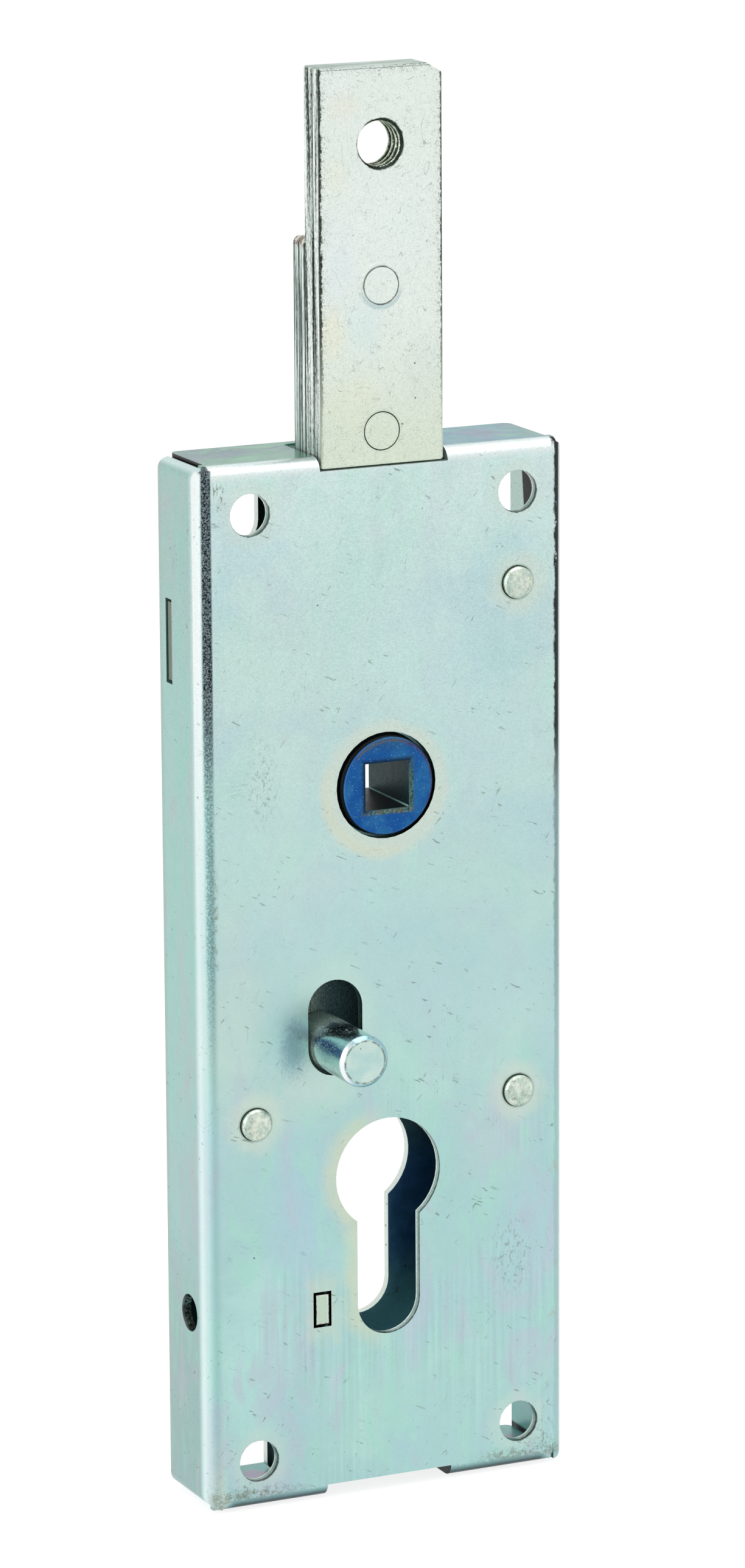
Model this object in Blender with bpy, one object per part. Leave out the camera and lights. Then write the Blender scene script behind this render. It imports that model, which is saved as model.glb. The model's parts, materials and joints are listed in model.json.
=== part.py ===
"""Garage door lock: a flat folded steel case with a sliding strip bolt, a square-hole hub, an operating
pin and a cut-out for a profile cylinder. X runs to the right, the front faces -Y and Z is up.
Depths are measured backwards from the front face of the case."""

import math

import bmesh
import bpy
from mathutils import Matrix, Vector

# Clearances, in metres
SHEET_GAP = 0.0003
SHANK_GAP = 0.00015

# The folded case
CASE_WIDTH = 0.060
CASE_HEIGHT = 0.1615
CASE_DEPTH = 0.0155
CASE_SHEET = 0.0015
BEND_RADIUS = 0.0023
CASE_CORNER_RADIUS = 0.0018
FLANGE_CORNER_RADIUS = 0.0013
SIDE_FLANGE_DROP = 0.0005
CORNER_SLIT = 0.0004
CORNER_SLIT_START = 0.0030
FOLD_INSET = 0.00005
WEB_OVERLAP = 0.00075
END_TRIM = 0.00025
NOTCH_SIDE_GAP = 0.0005
NOTCH_EDGE_INSET = 0.0020
NOTCH_REACH = 0.01365
NOTCH_CORNER_RADIUS = 0.0010

# Holes in the front face
SCREW_HOLE = 0.0064
SCREW_SIDE_INSET = 0.0080
SCREW_END_INSET = 0.00755
CYLINDER_Z = 0.0503
CYLINDER_HOLE = 0.0175
CYLINDER_SLOT_WIDTH = 0.0105
CYLINDER_CUT_HEIGHT = 0.0342
HUB_ABOVE_CYLINDER = 0.0606
HUB_HOLE_GAP = 0.0005
PIN_SLOT_GAP = 0.0005
PIN_SLOT_BELOW = 0.0006
PIN_SLOT_ABOVE = 0.0009

# Sliding bolt
TRAVEL = 0.0054
BOLT_REACH = 0.0576
BOLT_FRONT_DEPTH = 0.00075
BOLT_FRONT_THICKNESS = 0.00205
BOLT_THREADED_THICKNESS = 0.00275
BOLT_CORNER_WIDTH = 0.0025
BOLT_CORNER_HEIGHT = 0.0015
FOOT_GAP = 0.0002
BOLT_OVERLAP = 0.0035
STRIP_EDGE_RADIUS = 0.0004
THREAD_HOLE = 0.0076
THREAD_HOLE_DROP = 0.0116
BOLT_RIVET = 0.0056
BOLT_RIVET_PITCH = 0.0218
BOLT_RIVET_LIFT = 0.0050

# Carriage that the bolt is riveted to
CARRIAGE_REACH = 0.0319
CARRIAGE_PLATE = 0.00170
CARRIAGE_SIDE_GAP = 0.0010
SHOULDER_WIDTH = 0.0070
CARRIAGE_CORNER_RADIUS = 0.0010
SHOULDER_RADIUS = 0.0020
SHOULDER_RISE = 0.0150
LAYER_GAP = 0.0005
LUG_BEVEL = 0.0040
CAM_REACH = 0.0152
WINDOW_GAP = 0.0006
WINDOW_RADIUS = 0.0015
LUG_RADIUS = 0.0010
CARRIAGE_RIVET = 0.0044
CARRIAGE_RIVET_HEAD = 0.0064
CARRIAGE_RIVET_HEAD_THICKNESS = 0.00045
CARRIAGE_RIVET_LOW_INSET = 0.0060
CARRIAGE_RIVET_LOW_LIFT = 0.0120
CARRIAGE_RIVET_HIGH_DROP = 0.0190
GLIDE_COLLAR = 0.0078

# Operating pin
PIN_DIAMETER = 0.0080
PIN_X = -0.0087
PIN_ABOVE_CYLINDER = 0.0211
PIN_REACH = 0.0106
PIN_CHAMFER = 0.0009
PIN_TENON = 0.0055

# Hub
HUB_SQUARE = 0.0072
HUB_JOURNAL = 0.0154
HUB_PROUD = 0.0004
HUB_EDGE_CHAMFER = 0.0003
HUB_COLLAR = 0.0190
HUB_COLLAR_THICKNESS = 0.0015
HUB_BODY = 0.0140
HUB_REAR_JOURNAL = 0.0134
HUB_REAR_END = 0.0140
HUB_SWING = math.radians(30)
NOSE_RADIUS = 0.0018
NECK_HALF_WIDTH = 0.0011
WASHER_THICKNESS = 0.0007
WASHER_DIAMETER = 0.0210
NECK_ROOT = 0.0050

# Back plate
BACK_PLATE_DEPTH = 0.0114
BACK_PLATE_THICKNESS = 0.0014
BACK_NOTCH_SIDE_LAND = 0.00325
BACK_NOTCH_END_LAND = 0.00385
BACK_NOTCH_RADIUS = 0.0040
BACK_CORNER_RADIUS = 0.0010
BACK_TAB_DROP = 0.02795
BACK_TAB_HEIGHT = 0.0119
BACK_TAB_SINK = 0.0002
SIDE_SLOT_END_GAP = 0.0005
SIDE_SLOT_FACE_GAP = 0.0004

# Pillars between the front sheet and the back plate
PILLAR_DIAMETER = 0.0080
PILLAR_TENON = 0.0049
PILLAR_PROUD = 0.0008
PILLAR_CHAMFER = 0.0003
PILLAR_INSET = 0.0080
PILLAR_ABOVE_CYLINDER = 0.0104
PILLAR_DROP = 0.0215

# Bracket behind the hole for the cylinder's screw
BRACKET_X = -0.0112
BRACKET_THICKNESS = 0.0024
BRACKET_BELOW_CYLINDER = 0.02015
BRACKET_HEIGHT = 0.0120
BRACKET_TENON_HEIGHT = 0.0050
BRACKET_CORNER_RADIUS = 0.0015
BRACKET_TENON_GAP = 0.0003
BRACKET_HOLE = 0.0052
SIDE_SCREW_HOLE = 0.0058
SIDE_SCREW_DEPTH = 0.00745

# Return spring and its guide
SPRING_INSET = 0.0036
SPRING_DIAMETER = 0.0056
SPRING_WIRE = 0.0007
SPRING_TURNS = 10
GUIDE_ROD = 0.0024
GUIDE_HEAD_THICKNESS = 0.0012
GUIDE_OVERLAP = 0.0015
GUIDE_SLOT_GAP = 0.0003
GUIDE_SLOT_RADIUS = 0.0013
GUIDE_SLOT_SPARE = 0.0010
SPRING_CLOSED_PITCH = 0.00085

# Fineness of round shapes
ROUND_STEPS = 36
CORNER_STEPS = 6
SPRING_STEPS = 14
CUT_PAST = 0.0020
FINEST_PLACES = 8

# Places that follow from the sizes above
FACE_Y = (PIN_REACH - CASE_DEPTH) / 2
HALF_WIDTH = CASE_WIDTH / 2
SCREW_X = HALF_WIDTH - SCREW_SIDE_INSET
HUB_Z = CYLINDER_Z + HUB_ABOVE_CYLINDER
PIN_Z = CYLINDER_Z + PIN_ABOVE_CYLINDER
BRACKET_Z = CYLINDER_Z - BRACKET_BELOW_CYLINDER
PILLAR_X = HALF_WIDTH - PILLAR_INSET
PILLAR_LOW_Z = CYLINDER_Z + PILLAR_ABOVE_CYLINDER
PILLAR_HIGH_Z = CASE_HEIGHT - PILLAR_DROP
BACK_TAB_Z = CASE_HEIGHT - BACK_TAB_DROP
BACK_NOTCH_X = SCREW_X - SCREW_HOLE / 2 - BACK_NOTCH_SIDE_LAND
BACK_NOTCH_Z = SCREW_END_INSET + SCREW_HOLE / 2 + BACK_NOTCH_END_LAND
BOLT_TOP_Z = CASE_HEIGHT + BOLT_REACH
CARRIAGE_TOP_Z = CASE_HEIGHT + CARRIAGE_REACH
CARRIAGE_HALF_WIDTH = PILLAR_X - PILLAR_DIAMETER / 2 - CARRIAGE_SIDE_GAP
CARRIAGE_RIVET_LOW_X = CARRIAGE_HALF_WIDTH - CARRIAGE_RIVET_LOW_INSET
BOLT_WIDTH = 2 * (CARRIAGE_HALF_WIDTH - SHOULDER_WIDTH)
NOTCH_WIDTH = BOLT_WIDTH + 2 * NOTCH_SIDE_GAP
SPRING_X = CARRIAGE_HALF_WIDTH - SPRING_INSET
BOLT_THREADED_DEPTH = BOLT_FRONT_DEPTH + BOLT_FRONT_THICKNESS + SHEET_GAP
BOLT_REAR = BOLT_THREADED_DEPTH + BOLT_THREADED_THICKNESS
CARRIAGE_FRONT_DEPTH = BOLT_REAR + LAYER_GAP
CARRIAGE_REAR_DEPTH = CARRIAGE_FRONT_DEPTH + CARRIAGE_PLATE + SHEET_GAP
CARRIAGE_REAR = CARRIAGE_REAR_DEPTH + CARRIAGE_PLATE
BOLT_FOOT_Z = CASE_HEIGHT - NOTCH_EDGE_INSET + FOOT_GAP
THREAD_HOLE_Z = BOLT_TOP_Z - THREAD_HOLE_DROP
BOLT_RIVET_LOW_Z = BOLT_FOOT_Z + BOLT_RIVET_LIFT
BOLT_RIVET_HIGH_Z = BOLT_RIVET_LOW_Z + BOLT_RIVET_PITCH
LUG_Z = CYLINDER_Z + CAM_REACH - TRAVEL
SHOULDER_Z = HUB_Z + SHOULDER_RISE
HUB_COLLAR_DEPTH = CASE_SHEET + SHEET_GAP + WASHER_THICKNESS + SHEET_GAP
HUB_BODY_REAR = BACK_PLATE_DEPTH - SHEET_GAP
NOSE_REACH = TRAVEL / (2 * math.sin(HUB_SWING / 2))
BACK_PLATE_REAR = BACK_PLATE_DEPTH + BACK_PLATE_THICKNESS
BACK_HALF_WIDTH = HALF_WIDTH - CASE_SHEET - SHEET_GAP
CARRIAGE_MIDDLE = (CARRIAGE_FRONT_DEPTH + CARRIAGE_REAR) / 2
FLANGE_INNER_TOP = CASE_HEIGHT - CASE_SHEET


def clear_scene():
    for obj in list(bpy.data.objects):
        bpy.data.objects.remove(obj, do_unlink=True)


def finish(name, colour, roughness):
    """A metal with the given colour and roughness."""
    material = bpy.data.materials.new(name)
    material.use_nodes = True
    shader = material.node_tree.nodes["Principled BSDF"]
    shader.inputs["Base Color"].default_value = (*colour, 1)
    shader.inputs["Roughness"].default_value = roughness
    shader.inputs["Metallic"].default_value = 1
    return material


def axis_empty(name, x, z):
    """An empty on a joint's axis, which carries the pieces of one moving group."""
    empty = bpy.data.objects.new(name, None)
    bpy.context.scene.collection.objects.link(empty)
    empty.location = (x, FACE_Y, z)
    return empty


def add_object(name, mesh, carrier, material=None):
    """An object whose mesh is given in case coordinates, hung on the empty that carries it."""
    obj = bpy.data.objects.new(name, mesh)
    bpy.context.scene.collection.objects.link(obj)
    offset = Vector((carrier.location.x, 0, carrier.location.z))
    mesh.transform(Matrix.Translation(-offset))
    obj.parent = carrier
    if material:
        mesh.materials.append(material)
    mesh.shade_smooth()
    mesh.set_sharp_from_angle(angle=math.radians(30))
    return obj


def circle(x, z, diameter):
    angles = (2 * math.pi * step / ROUND_STEPS for step in range(ROUND_STEPS))
    return [(x + diameter / 2 * math.cos(a), z + diameter / 2 * math.sin(a)) for a in angles]


def arc(x, z, radius, first, last, steps=CORNER_STEPS):
    """Points of an arc between two angles in degrees."""
    turns = (math.radians(first + (last - first) * step / steps) for step in range(steps + 1))
    return [(x + radius * math.cos(a), z + radius * math.sin(a)) for a in turns]


def rounded(*corners):
    """The outline through corners given as (a, b, radius), with each corner rounded by its radius."""
    points = []
    for index, (a, b, radius) in enumerate(corners):
        corner = Vector((a, b))
        if radius == 0:
            points.append((a, b))
            continue
        back = (Vector(corners[index - 1][:2]) - corner).normalized()
        ahead = (Vector(corners[(index + 1) % len(corners)][:2]) - corner).normalized()
        half = back.angle(ahead) / 2
        centre = corner + (back + ahead).normalized() * radius / math.sin(half)
        spoke = corner + back * radius / math.tan(half) - centre
        side = 1 if back.x * ahead.y - back.y * ahead.x < 0 else -1
        sweep = side * (math.pi - 2 * half)
        for step in range(CORNER_STEPS + 1):
            point = centre + Matrix.Rotation(sweep * step / CORNER_STEPS, 2) @ spoke
            points.append(tuple(point))
    return points


def rectangle(left, right, low, high, radius=0.0):
    return rounded(
        (left, low, radius),
        (right, low, radius),
        (right, high, radius),
        (left, high, radius),
    )


def obround(x, low, high, width):
    """An upright slot with round ends."""
    radius = width / 2
    top = arc(x, high - radius, radius, 0, 180, ROUND_STEPS // 2)
    bottom = arc(x, low + radius, radius, 180, 360, ROUND_STEPS // 2)
    return top + bottom


def cylinder_cut():
    """The keyhole outline of a profile cylinder: a circle with a round-ended slot hanging from it."""
    radius = CYLINDER_HOLE / 2
    half_slot = CYLINDER_SLOT_WIDTH / 2
    meet = math.degrees(math.asin(half_slot / radius))
    bottom = CYLINDER_Z + radius - CYLINDER_CUT_HEIGHT
    head = arc(0, CYLINDER_Z, radius, -90 + meet, 270 - meet, ROUND_STEPS)
    foot = arc(0, bottom + half_slot, half_slot, 180, 360, ROUND_STEPS // 2)
    return head + foot


# How an outline's two coordinates and its extrusion lie: across the front, seen from a side, or from above
ACROSS_FRONT = Matrix(((1, 0, 0, 0), (0, 0, -1, 0), (0, 1, 0, 0), (0, 0, 0, 1)))
FROM_SIDE = Matrix(((0, 0, 1, 0), (1, 0, 0, 0), (0, 1, 0, 0), (0, 0, 0, 1)))
FROM_ABOVE = Matrix.Identity(4)


def cut_mesh(name, outlines, start, end, lie=ACROSS_FRONT):
    """A flat sheet of the given outlines, where an outline inside another is a hole."""
    curve = bpy.data.curves.new(name, "CURVE")
    curve.dimensions = "2D"
    curve.fill_mode = "BOTH"
    curve.extrude = (end - start) / 2
    for outline in outlines:
        spline = curve.splines.new("POLY")
        spline.points.add(len(outline) - 1)
        for point, (a, b) in zip(spline.points, outline):
            point.co = (round(a, FINEST_PLACES), round(b, FINEST_PLACES), 0, 1)
        spline.use_cyclic_u = True
    guide = bpy.data.objects.new(name, curve)
    bpy.context.scene.collection.objects.link(guide)
    graph = bpy.context.evaluated_depsgraph_get()
    mesh = bpy.data.meshes.new_from_object(guide.evaluated_get(graph))
    bpy.data.objects.remove(guide)
    bpy.data.curves.remove(curve)
    middle = (start + end) / 2
    shift = -middle if lie is ACROSS_FRONT else middle
    mesh.transform(lie @ Matrix.Translation((0, 0, shift)))
    bm = bmesh.new()
    bm.from_mesh(mesh)
    bmesh.ops.remove_doubles(bm, verts=bm.verts, dist=1e-6)
    bmesh.ops.recalc_face_normals(bm, faces=bm.faces)
    bm.to_mesh(mesh)
    bm.free()
    return mesh


def turned_mesh(name, profile, x, z):
    """A solid turned about the line through (x, z) that runs from front to rear.

    The profile holds (radius, depth) points. It starts and ends on the line for a solid piece,
    and stays off it, as a closed loop, for a ring."""
    bm = bmesh.new()
    points = [bm.verts.new((radius, depth, 0)) for radius, depth in profile]
    following = points[1:] if profile[0][0] == 0 else points[1:] + points[:1]
    edges = [bm.edges.new(pair) for pair in zip(points, following)]
    full_turn = 2 * math.pi
    bmesh.ops.spin(
        bm,
        geom=points + edges,
        cent=(0, 0, 0),
        axis=(0, 1, 0),
        angle=full_turn,
        steps=ROUND_STEPS,
        use_merge=True,
    )
    bmesh.ops.remove_doubles(bm, verts=bm.verts, dist=1e-6)
    bmesh.ops.recalc_face_normals(bm, faces=bm.faces)
    mesh = bpy.data.meshes.new(name)
    bm.to_mesh(mesh)
    bm.free()
    mesh.transform(Matrix.Translation((x, 0, z)))
    return mesh


def boolean(target, mesh, operation="DIFFERENCE"):
    """Cuts the mesh from the target, or joins or intersects them, with a hidden helper object."""
    helper = bpy.data.objects.new(f"{target.name}_{mesh.name}", mesh)
    bpy.context.scene.collection.objects.link(helper)
    offset = Vector((target.parent.location.x, 0, target.parent.location.z))
    mesh.transform(Matrix.Translation(-offset))
    helper.parent = target.parent
    helper.hide_render = True
    helper.display_type = "WIRE"
    modifier = target.modifiers.new(mesh.name, "BOOLEAN")
    modifier.operation = operation
    modifier.solver = "EXACT"
    modifier.object = helper
    return helper


def channel(low, high):
    """The section of the sheet with a flange folded back at each end, as (position, depth) points.

    The flanges run past the back of the case and are trimmed afterwards."""
    inner_radius = BEND_RADIUS - CASE_SHEET
    rear = CASE_DEPTH + CUT_PAST
    return rounded(
        (low, rear, 0),
        (low, 0, BEND_RADIUS),
        (high, 0, BEND_RADIUS),
        (high, rear, 0),
        (high - CASE_SHEET, rear, 0),
        (high - CASE_SHEET, CASE_SHEET, inner_radius),
        (low + CASE_SHEET, CASE_SHEET, inner_radius),
        (low + CASE_SHEET, rear, 0),
    )


def side_fold_outline():
    """The front view of the sheet with its side flanges, which stops at the two end bends."""
    low = SIDE_FLANGE_DROP
    high = CASE_HEIGHT - SIDE_FLANGE_DROP
    end_edge = HALF_WIDTH - CASE_SHEET - CORNER_SLIT
    web_end = BEND_RADIUS + WEB_OVERLAP
    return rounded(
        (-HALF_WIDTH, low, CASE_CORNER_RADIUS),
        (-end_edge, low, 0),
        (-end_edge, web_end, 0),
        (end_edge, web_end, 0),
        (end_edge, low, 0),
        (HALF_WIDTH, low, CASE_CORNER_RADIUS),
        (HALF_WIDTH, high, CASE_CORNER_RADIUS),
        (end_edge, high, 0),
        (end_edge, CASE_HEIGHT - web_end, 0),
        (-end_edge, CASE_HEIGHT - web_end, 0),
        (-end_edge, high, 0),
        (-HALF_WIDTH, high, CASE_CORNER_RADIUS),
    )


def end_fold_outline():
    """The view from above of the end flanges, which a slit parts from the side flanges.

    Its front corners are cut off just inside the side bends, so that it adds nothing in front of them."""
    edge = HALF_WIDTH - CASE_SHEET - CORNER_SLIT
    joined = HALF_WIDTH - CASE_SHEET + CORNER_SLIT
    bend_start = HALF_WIDTH - BEND_RADIUS - FOLD_INSET
    into_bend = joined - HALF_WIDTH + BEND_RADIUS
    bend_depth = BEND_RADIUS - math.sqrt(BEND_RADIUS ** 2 - into_bend ** 2) + FOLD_INSET
    return rounded(
        (-bend_start, -CUT_PAST, 0),
        (bend_start, -CUT_PAST, 0),
        (bend_start, 0, 0),
        (joined, bend_depth, 0),
        (joined, CORNER_SLIT_START, 0),
        (edge, CORNER_SLIT_START, 0),
        (edge, CASE_DEPTH, FLANGE_CORNER_RADIUS),
        (-edge, CASE_DEPTH, FLANGE_CORNER_RADIUS),
        (-edge, CORNER_SLIT_START, 0),
        (-joined, CORNER_SLIT_START, 0),
        (-joined, bend_depth, 0),
        (-bend_start, 0, 0),
    )


def pillar_places():
    return [(PILLAR_X, PILLAR_HIGH_Z), (PILLAR_X, PILLAR_LOW_Z), (-PILLAR_X, PILLAR_LOW_Z)]


def screw_places():
    low = SCREW_END_INSET
    return [(x, z) for x in (-SCREW_X, SCREW_X) for z in (low, CASE_HEIGHT - low)]


def bracket_hole():
    half_height = BRACKET_TENON_HEIGHT / 2 + BRACKET_TENON_GAP
    half_width = BRACKET_THICKNESS / 2 + BRACKET_TENON_GAP
    left = BRACKET_X - half_width
    return rectangle(left, left + 2 * half_width, BRACKET_Z - half_height, BRACKET_Z + half_height)


def front_holes():
    """Every hole in the front sheet of the case."""
    slot_low = PIN_Z - PIN_DIAMETER / 2 - PIN_SLOT_BELOW
    slot_high = PIN_Z + PIN_DIAMETER / 2 + TRAVEL + PIN_SLOT_ABOVE
    holes = [circle(x, z, SCREW_HOLE) for x, z in screw_places()]
    holes += [circle(x, z, PILLAR_TENON + 2 * SHANK_GAP) for x, z in pillar_places()]
    holes.append(circle(0, HUB_Z, HUB_JOURNAL + 2 * HUB_HOLE_GAP))
    holes.append(obround(PIN_X, slot_low, slot_high, PIN_DIAMETER + 2 * PIN_SLOT_GAP))
    holes.append(cylinder_cut())
    holes.append(bracket_hole())
    return holes


def make_case_shell(case, zinc):
    """The folded sheet: a front face with flanges on all four sides, and notches for the bolt."""
    past = CUT_PAST
    sides = cut_mesh("side_folds", [channel(-HALF_WIDTH, HALF_WIDTH)], 0, CASE_HEIGHT, FROM_ABOVE)
    shell = add_object("case_shell", sides, case, zinc)
    blank = cut_mesh("blank", [side_fold_outline()], -past, CASE_DEPTH + 2 * past)
    boolean(shell, blank, "INTERSECT")
    low = SIDE_FLANGE_DROP - END_TRIM
    side_view = rectangle(-CASE_DEPTH, CASE_DEPTH, low, CASE_HEIGHT - low, FLANGE_CORNER_RADIUS)
    boolean(shell, cut_mesh("side_view", [side_view], -CASE_WIDTH, CASE_WIDTH, FROM_SIDE), "INTERSECT")

    end_section = [(depth, z) for z, depth in channel(0, CASE_HEIGHT)]
    ends = boolean(shell, cut_mesh("end_folds", [end_section], -HALF_WIDTH, HALF_WIDTH, FROM_SIDE), "UNION")
    top_view = cut_mesh("top_view", [end_fold_outline()], -past, CASE_HEIGHT + past, FROM_ABOVE)
    boolean(ends, top_view, "INTERSECT")

    notch = rectangle(-NOTCH_WIDTH / 2, NOTCH_WIDTH / 2, -NOTCH_REACH, NOTCH_REACH, NOTCH_CORNER_RADIUS)
    top_edge = CASE_HEIGHT - NOTCH_EDGE_INSET
    boolean(ends, cut_mesh("top_notch", [notch], top_edge, CASE_HEIGHT + past, FROM_ABOVE))
    boolean(ends, cut_mesh("bottom_notch", [notch], -past, NOTCH_EDGE_INSET, FROM_ABOVE))
    boolean(shell, cut_mesh("front_holes", front_holes(), -past, CASE_SHEET + past))

    middle = BACK_PLATE_DEPTH + BACK_PLATE_THICKNESS / 2
    half_slot = BACK_PLATE_THICKNESS / 2 + SIDE_SLOT_FACE_GAP
    half_height = BACK_TAB_HEIGHT / 2 + SIDE_SLOT_END_GAP
    slot = rectangle(middle - half_slot, middle + half_slot, BACK_TAB_Z - half_height, BACK_TAB_Z + half_height)
    boolean(shell, cut_mesh("tab_slots", [slot], -CASE_WIDTH, CASE_WIDTH, FROM_SIDE))
    hole = circle(SIDE_SCREW_DEPTH, BRACKET_Z, SIDE_SCREW_HOLE)
    boolean(shell, cut_mesh("screw_hole", [hole], -HALF_WIDTH - past, -HALF_WIDTH + past, FROM_SIDE))
    return shell


def make_back_plate(case, zinc):
    """The flat plate that closes the back between the screw holes, with a tab in each side flange."""
    half = BACK_HALF_WIDTH
    tab = HALF_WIDTH - BACK_TAB_SINK
    low = CASE_SHEET + SHEET_GAP
    high = CASE_HEIGHT - low
    corner = BACK_CORNER_RADIUS
    tab_low = BACK_TAB_Z - BACK_TAB_HEIGHT / 2
    tab_high = BACK_TAB_Z + BACK_TAB_HEIGHT / 2
    outline = rounded(
        (BACK_NOTCH_X, low, corner),
        (BACK_NOTCH_X, BACK_NOTCH_Z, BACK_NOTCH_RADIUS),
        (half, BACK_NOTCH_Z, corner),
        (half, tab_low, 0),
        (tab, tab_low, 0),
        (tab, tab_high, 0),
        (half, tab_high, 0),
        (half, CASE_HEIGHT - BACK_NOTCH_Z, corner),
        (BACK_NOTCH_X, CASE_HEIGHT - BACK_NOTCH_Z, BACK_NOTCH_RADIUS),
        (BACK_NOTCH_X, high, corner),
        (-BACK_NOTCH_X, high, corner),
        (-BACK_NOTCH_X, CASE_HEIGHT - BACK_NOTCH_Z, BACK_NOTCH_RADIUS),
        (-half, CASE_HEIGHT - BACK_NOTCH_Z, corner),
        (-half, tab_high, 0),
        (-tab, tab_high, 0),
        (-tab, tab_low, 0),
        (-half, tab_low, 0),
        (-half, BACK_NOTCH_Z, corner),
        (-BACK_NOTCH_X, BACK_NOTCH_Z, BACK_NOTCH_RADIUS),
        (-BACK_NOTCH_X, low, corner),
    )
    holes = [circle(x, z, PILLAR_TENON + 2 * SHANK_GAP) for x, z in pillar_places()]
    holes.append(circle(0, HUB_Z, HUB_REAR_JOURNAL + 2 * SHEET_GAP))
    holes.append(cylinder_cut())
    holes.append(bracket_hole())
    plate = cut_mesh("back_plate", [outline] + holes, BACK_PLATE_DEPTH, BACK_PLATE_REAR)
    return add_object("back_plate", plate, case, zinc)


def make_pillar(name, place, case, zinc):
    """A shouldered pillar whose two tenons are peened over in the front sheet and the back plate."""
    body = PILLAR_DIAMETER / 2
    tenon = PILLAR_TENON / 2
    front = -PILLAR_PROUD
    rear = BACK_PLATE_REAR + PILLAR_PROUD
    profile = [
        (0, front),
        (tenon - PILLAR_CHAMFER, front),
        (tenon, front + PILLAR_CHAMFER),
        (tenon, CASE_SHEET + SHEET_GAP),
        (body, CASE_SHEET + SHEET_GAP),
        (body, BACK_PLATE_DEPTH - SHEET_GAP),
        (tenon, BACK_PLATE_DEPTH - SHEET_GAP),
        (tenon, rear - PILLAR_CHAMFER),
        (tenon - PILLAR_CHAMFER, rear),
        (0, rear),
    ]
    return add_object(name, turned_mesh(name, profile, *place), case, zinc)


def nose_outline():
    """The drive nose on its neck, turned down by half of the hub's swing."""
    spread = math.degrees(math.asin(NECK_HALF_WIDTH / NOSE_RADIUS))
    points = [(NECK_ROOT, -NECK_HALF_WIDTH)]
    points += arc(NOSE_REACH, 0, NOSE_RADIUS, spread - 180, 180 - spread, ROUND_STEPS // 2)
    points.append((NECK_ROOT, NECK_HALF_WIDTH))
    turn = Matrix.Rotation(-HUB_SWING / 2, 2)
    turned = [turn @ Vector(point) for point in points]
    return [(point.x, HUB_Z + point.y) for point in turned]


def make_hub(hub_axis, blued):
    """The turned hub with its square hole and the nose that lifts the carriage."""
    journal = HUB_JOURNAL / 2
    collar = HUB_COLLAR / 2
    body = HUB_BODY / 2
    rear_journal = HUB_REAR_JOURNAL / 2
    collar_rear = HUB_COLLAR_DEPTH + HUB_COLLAR_THICKNESS
    profile = [
        (0, -HUB_PROUD),
        (journal - HUB_EDGE_CHAMFER, -HUB_PROUD),
        (journal, HUB_EDGE_CHAMFER - HUB_PROUD),
        (journal, HUB_COLLAR_DEPTH),
        (collar, HUB_COLLAR_DEPTH),
        (collar, collar_rear),
        (body, collar_rear),
        (body, HUB_BODY_REAR),
        (rear_journal, HUB_BODY_REAR),
        (rear_journal, HUB_REAR_END),
        (0, HUB_REAR_END),
    ]
    hub = add_object("hub", turned_mesh("hub", profile, 0, HUB_Z), hub_axis, blued)
    boolean(hub, cut_mesh("nose", [nose_outline()], CARRIAGE_FRONT_DEPTH, CARRIAGE_REAR), "UNION")
    half = HUB_SQUARE / 2
    square = rectangle(-half, half, HUB_Z - half, HUB_Z + half)
    boolean(hub, cut_mesh("square", [square], -CUT_PAST, HUB_REAR_END + CUT_PAST))
    return hub


def make_hub_washer(case, zinc):
    bore = HUB_JOURNAL / 2 + SHANK_GAP
    rim = WASHER_DIAMETER / 2
    front = CASE_SHEET + SHEET_GAP
    rear = front + WASHER_THICKNESS
    profile = [(bore, front), (rim, front), (rim, rear), (bore, rear)]
    return add_object("hub_washer", turned_mesh("hub_washer", profile, 0, HUB_Z), case, zinc)


def bolt_rivet_places():
    return [(0, BOLT_RIVET_LOW_Z), (0, BOLT_RIVET_HIGH_Z)]


def carriage_rivet_places():
    return {
        "lower": (CARRIAGE_RIVET_LOW_X, LUG_Z + CARRIAGE_RIVET_LOW_LIFT),
        "upper": (0, BOLT_FOOT_Z - CARRIAGE_RIVET_HIGH_DROP),
    }


def make_bolt_plate(name, foot, front, thickness, bolt, zinc):
    """One of the two strips that reach out of the case, with the threaded hole near its end."""
    half = BOLT_WIDTH / 2
    edge = STRIP_EDGE_RADIUS
    outline = rounded(
        (-half, foot, edge),
        (half, foot, edge),
        (half, BOLT_TOP_Z - BOLT_CORNER_HEIGHT, edge),
        (half - BOLT_CORNER_WIDTH, BOLT_TOP_Z, edge),
        (-half, BOLT_TOP_Z, edge),
    )
    holes = [circle(x, z, BOLT_RIVET + 2 * SHANK_GAP) for x, z in bolt_rivet_places()]
    holes.append(circle(0, THREAD_HOLE_Z, THREAD_HOLE))
    plate = cut_mesh(name, [outline] + holes, front, front + thickness)
    return add_object(name, plate, bolt, zinc)


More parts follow.
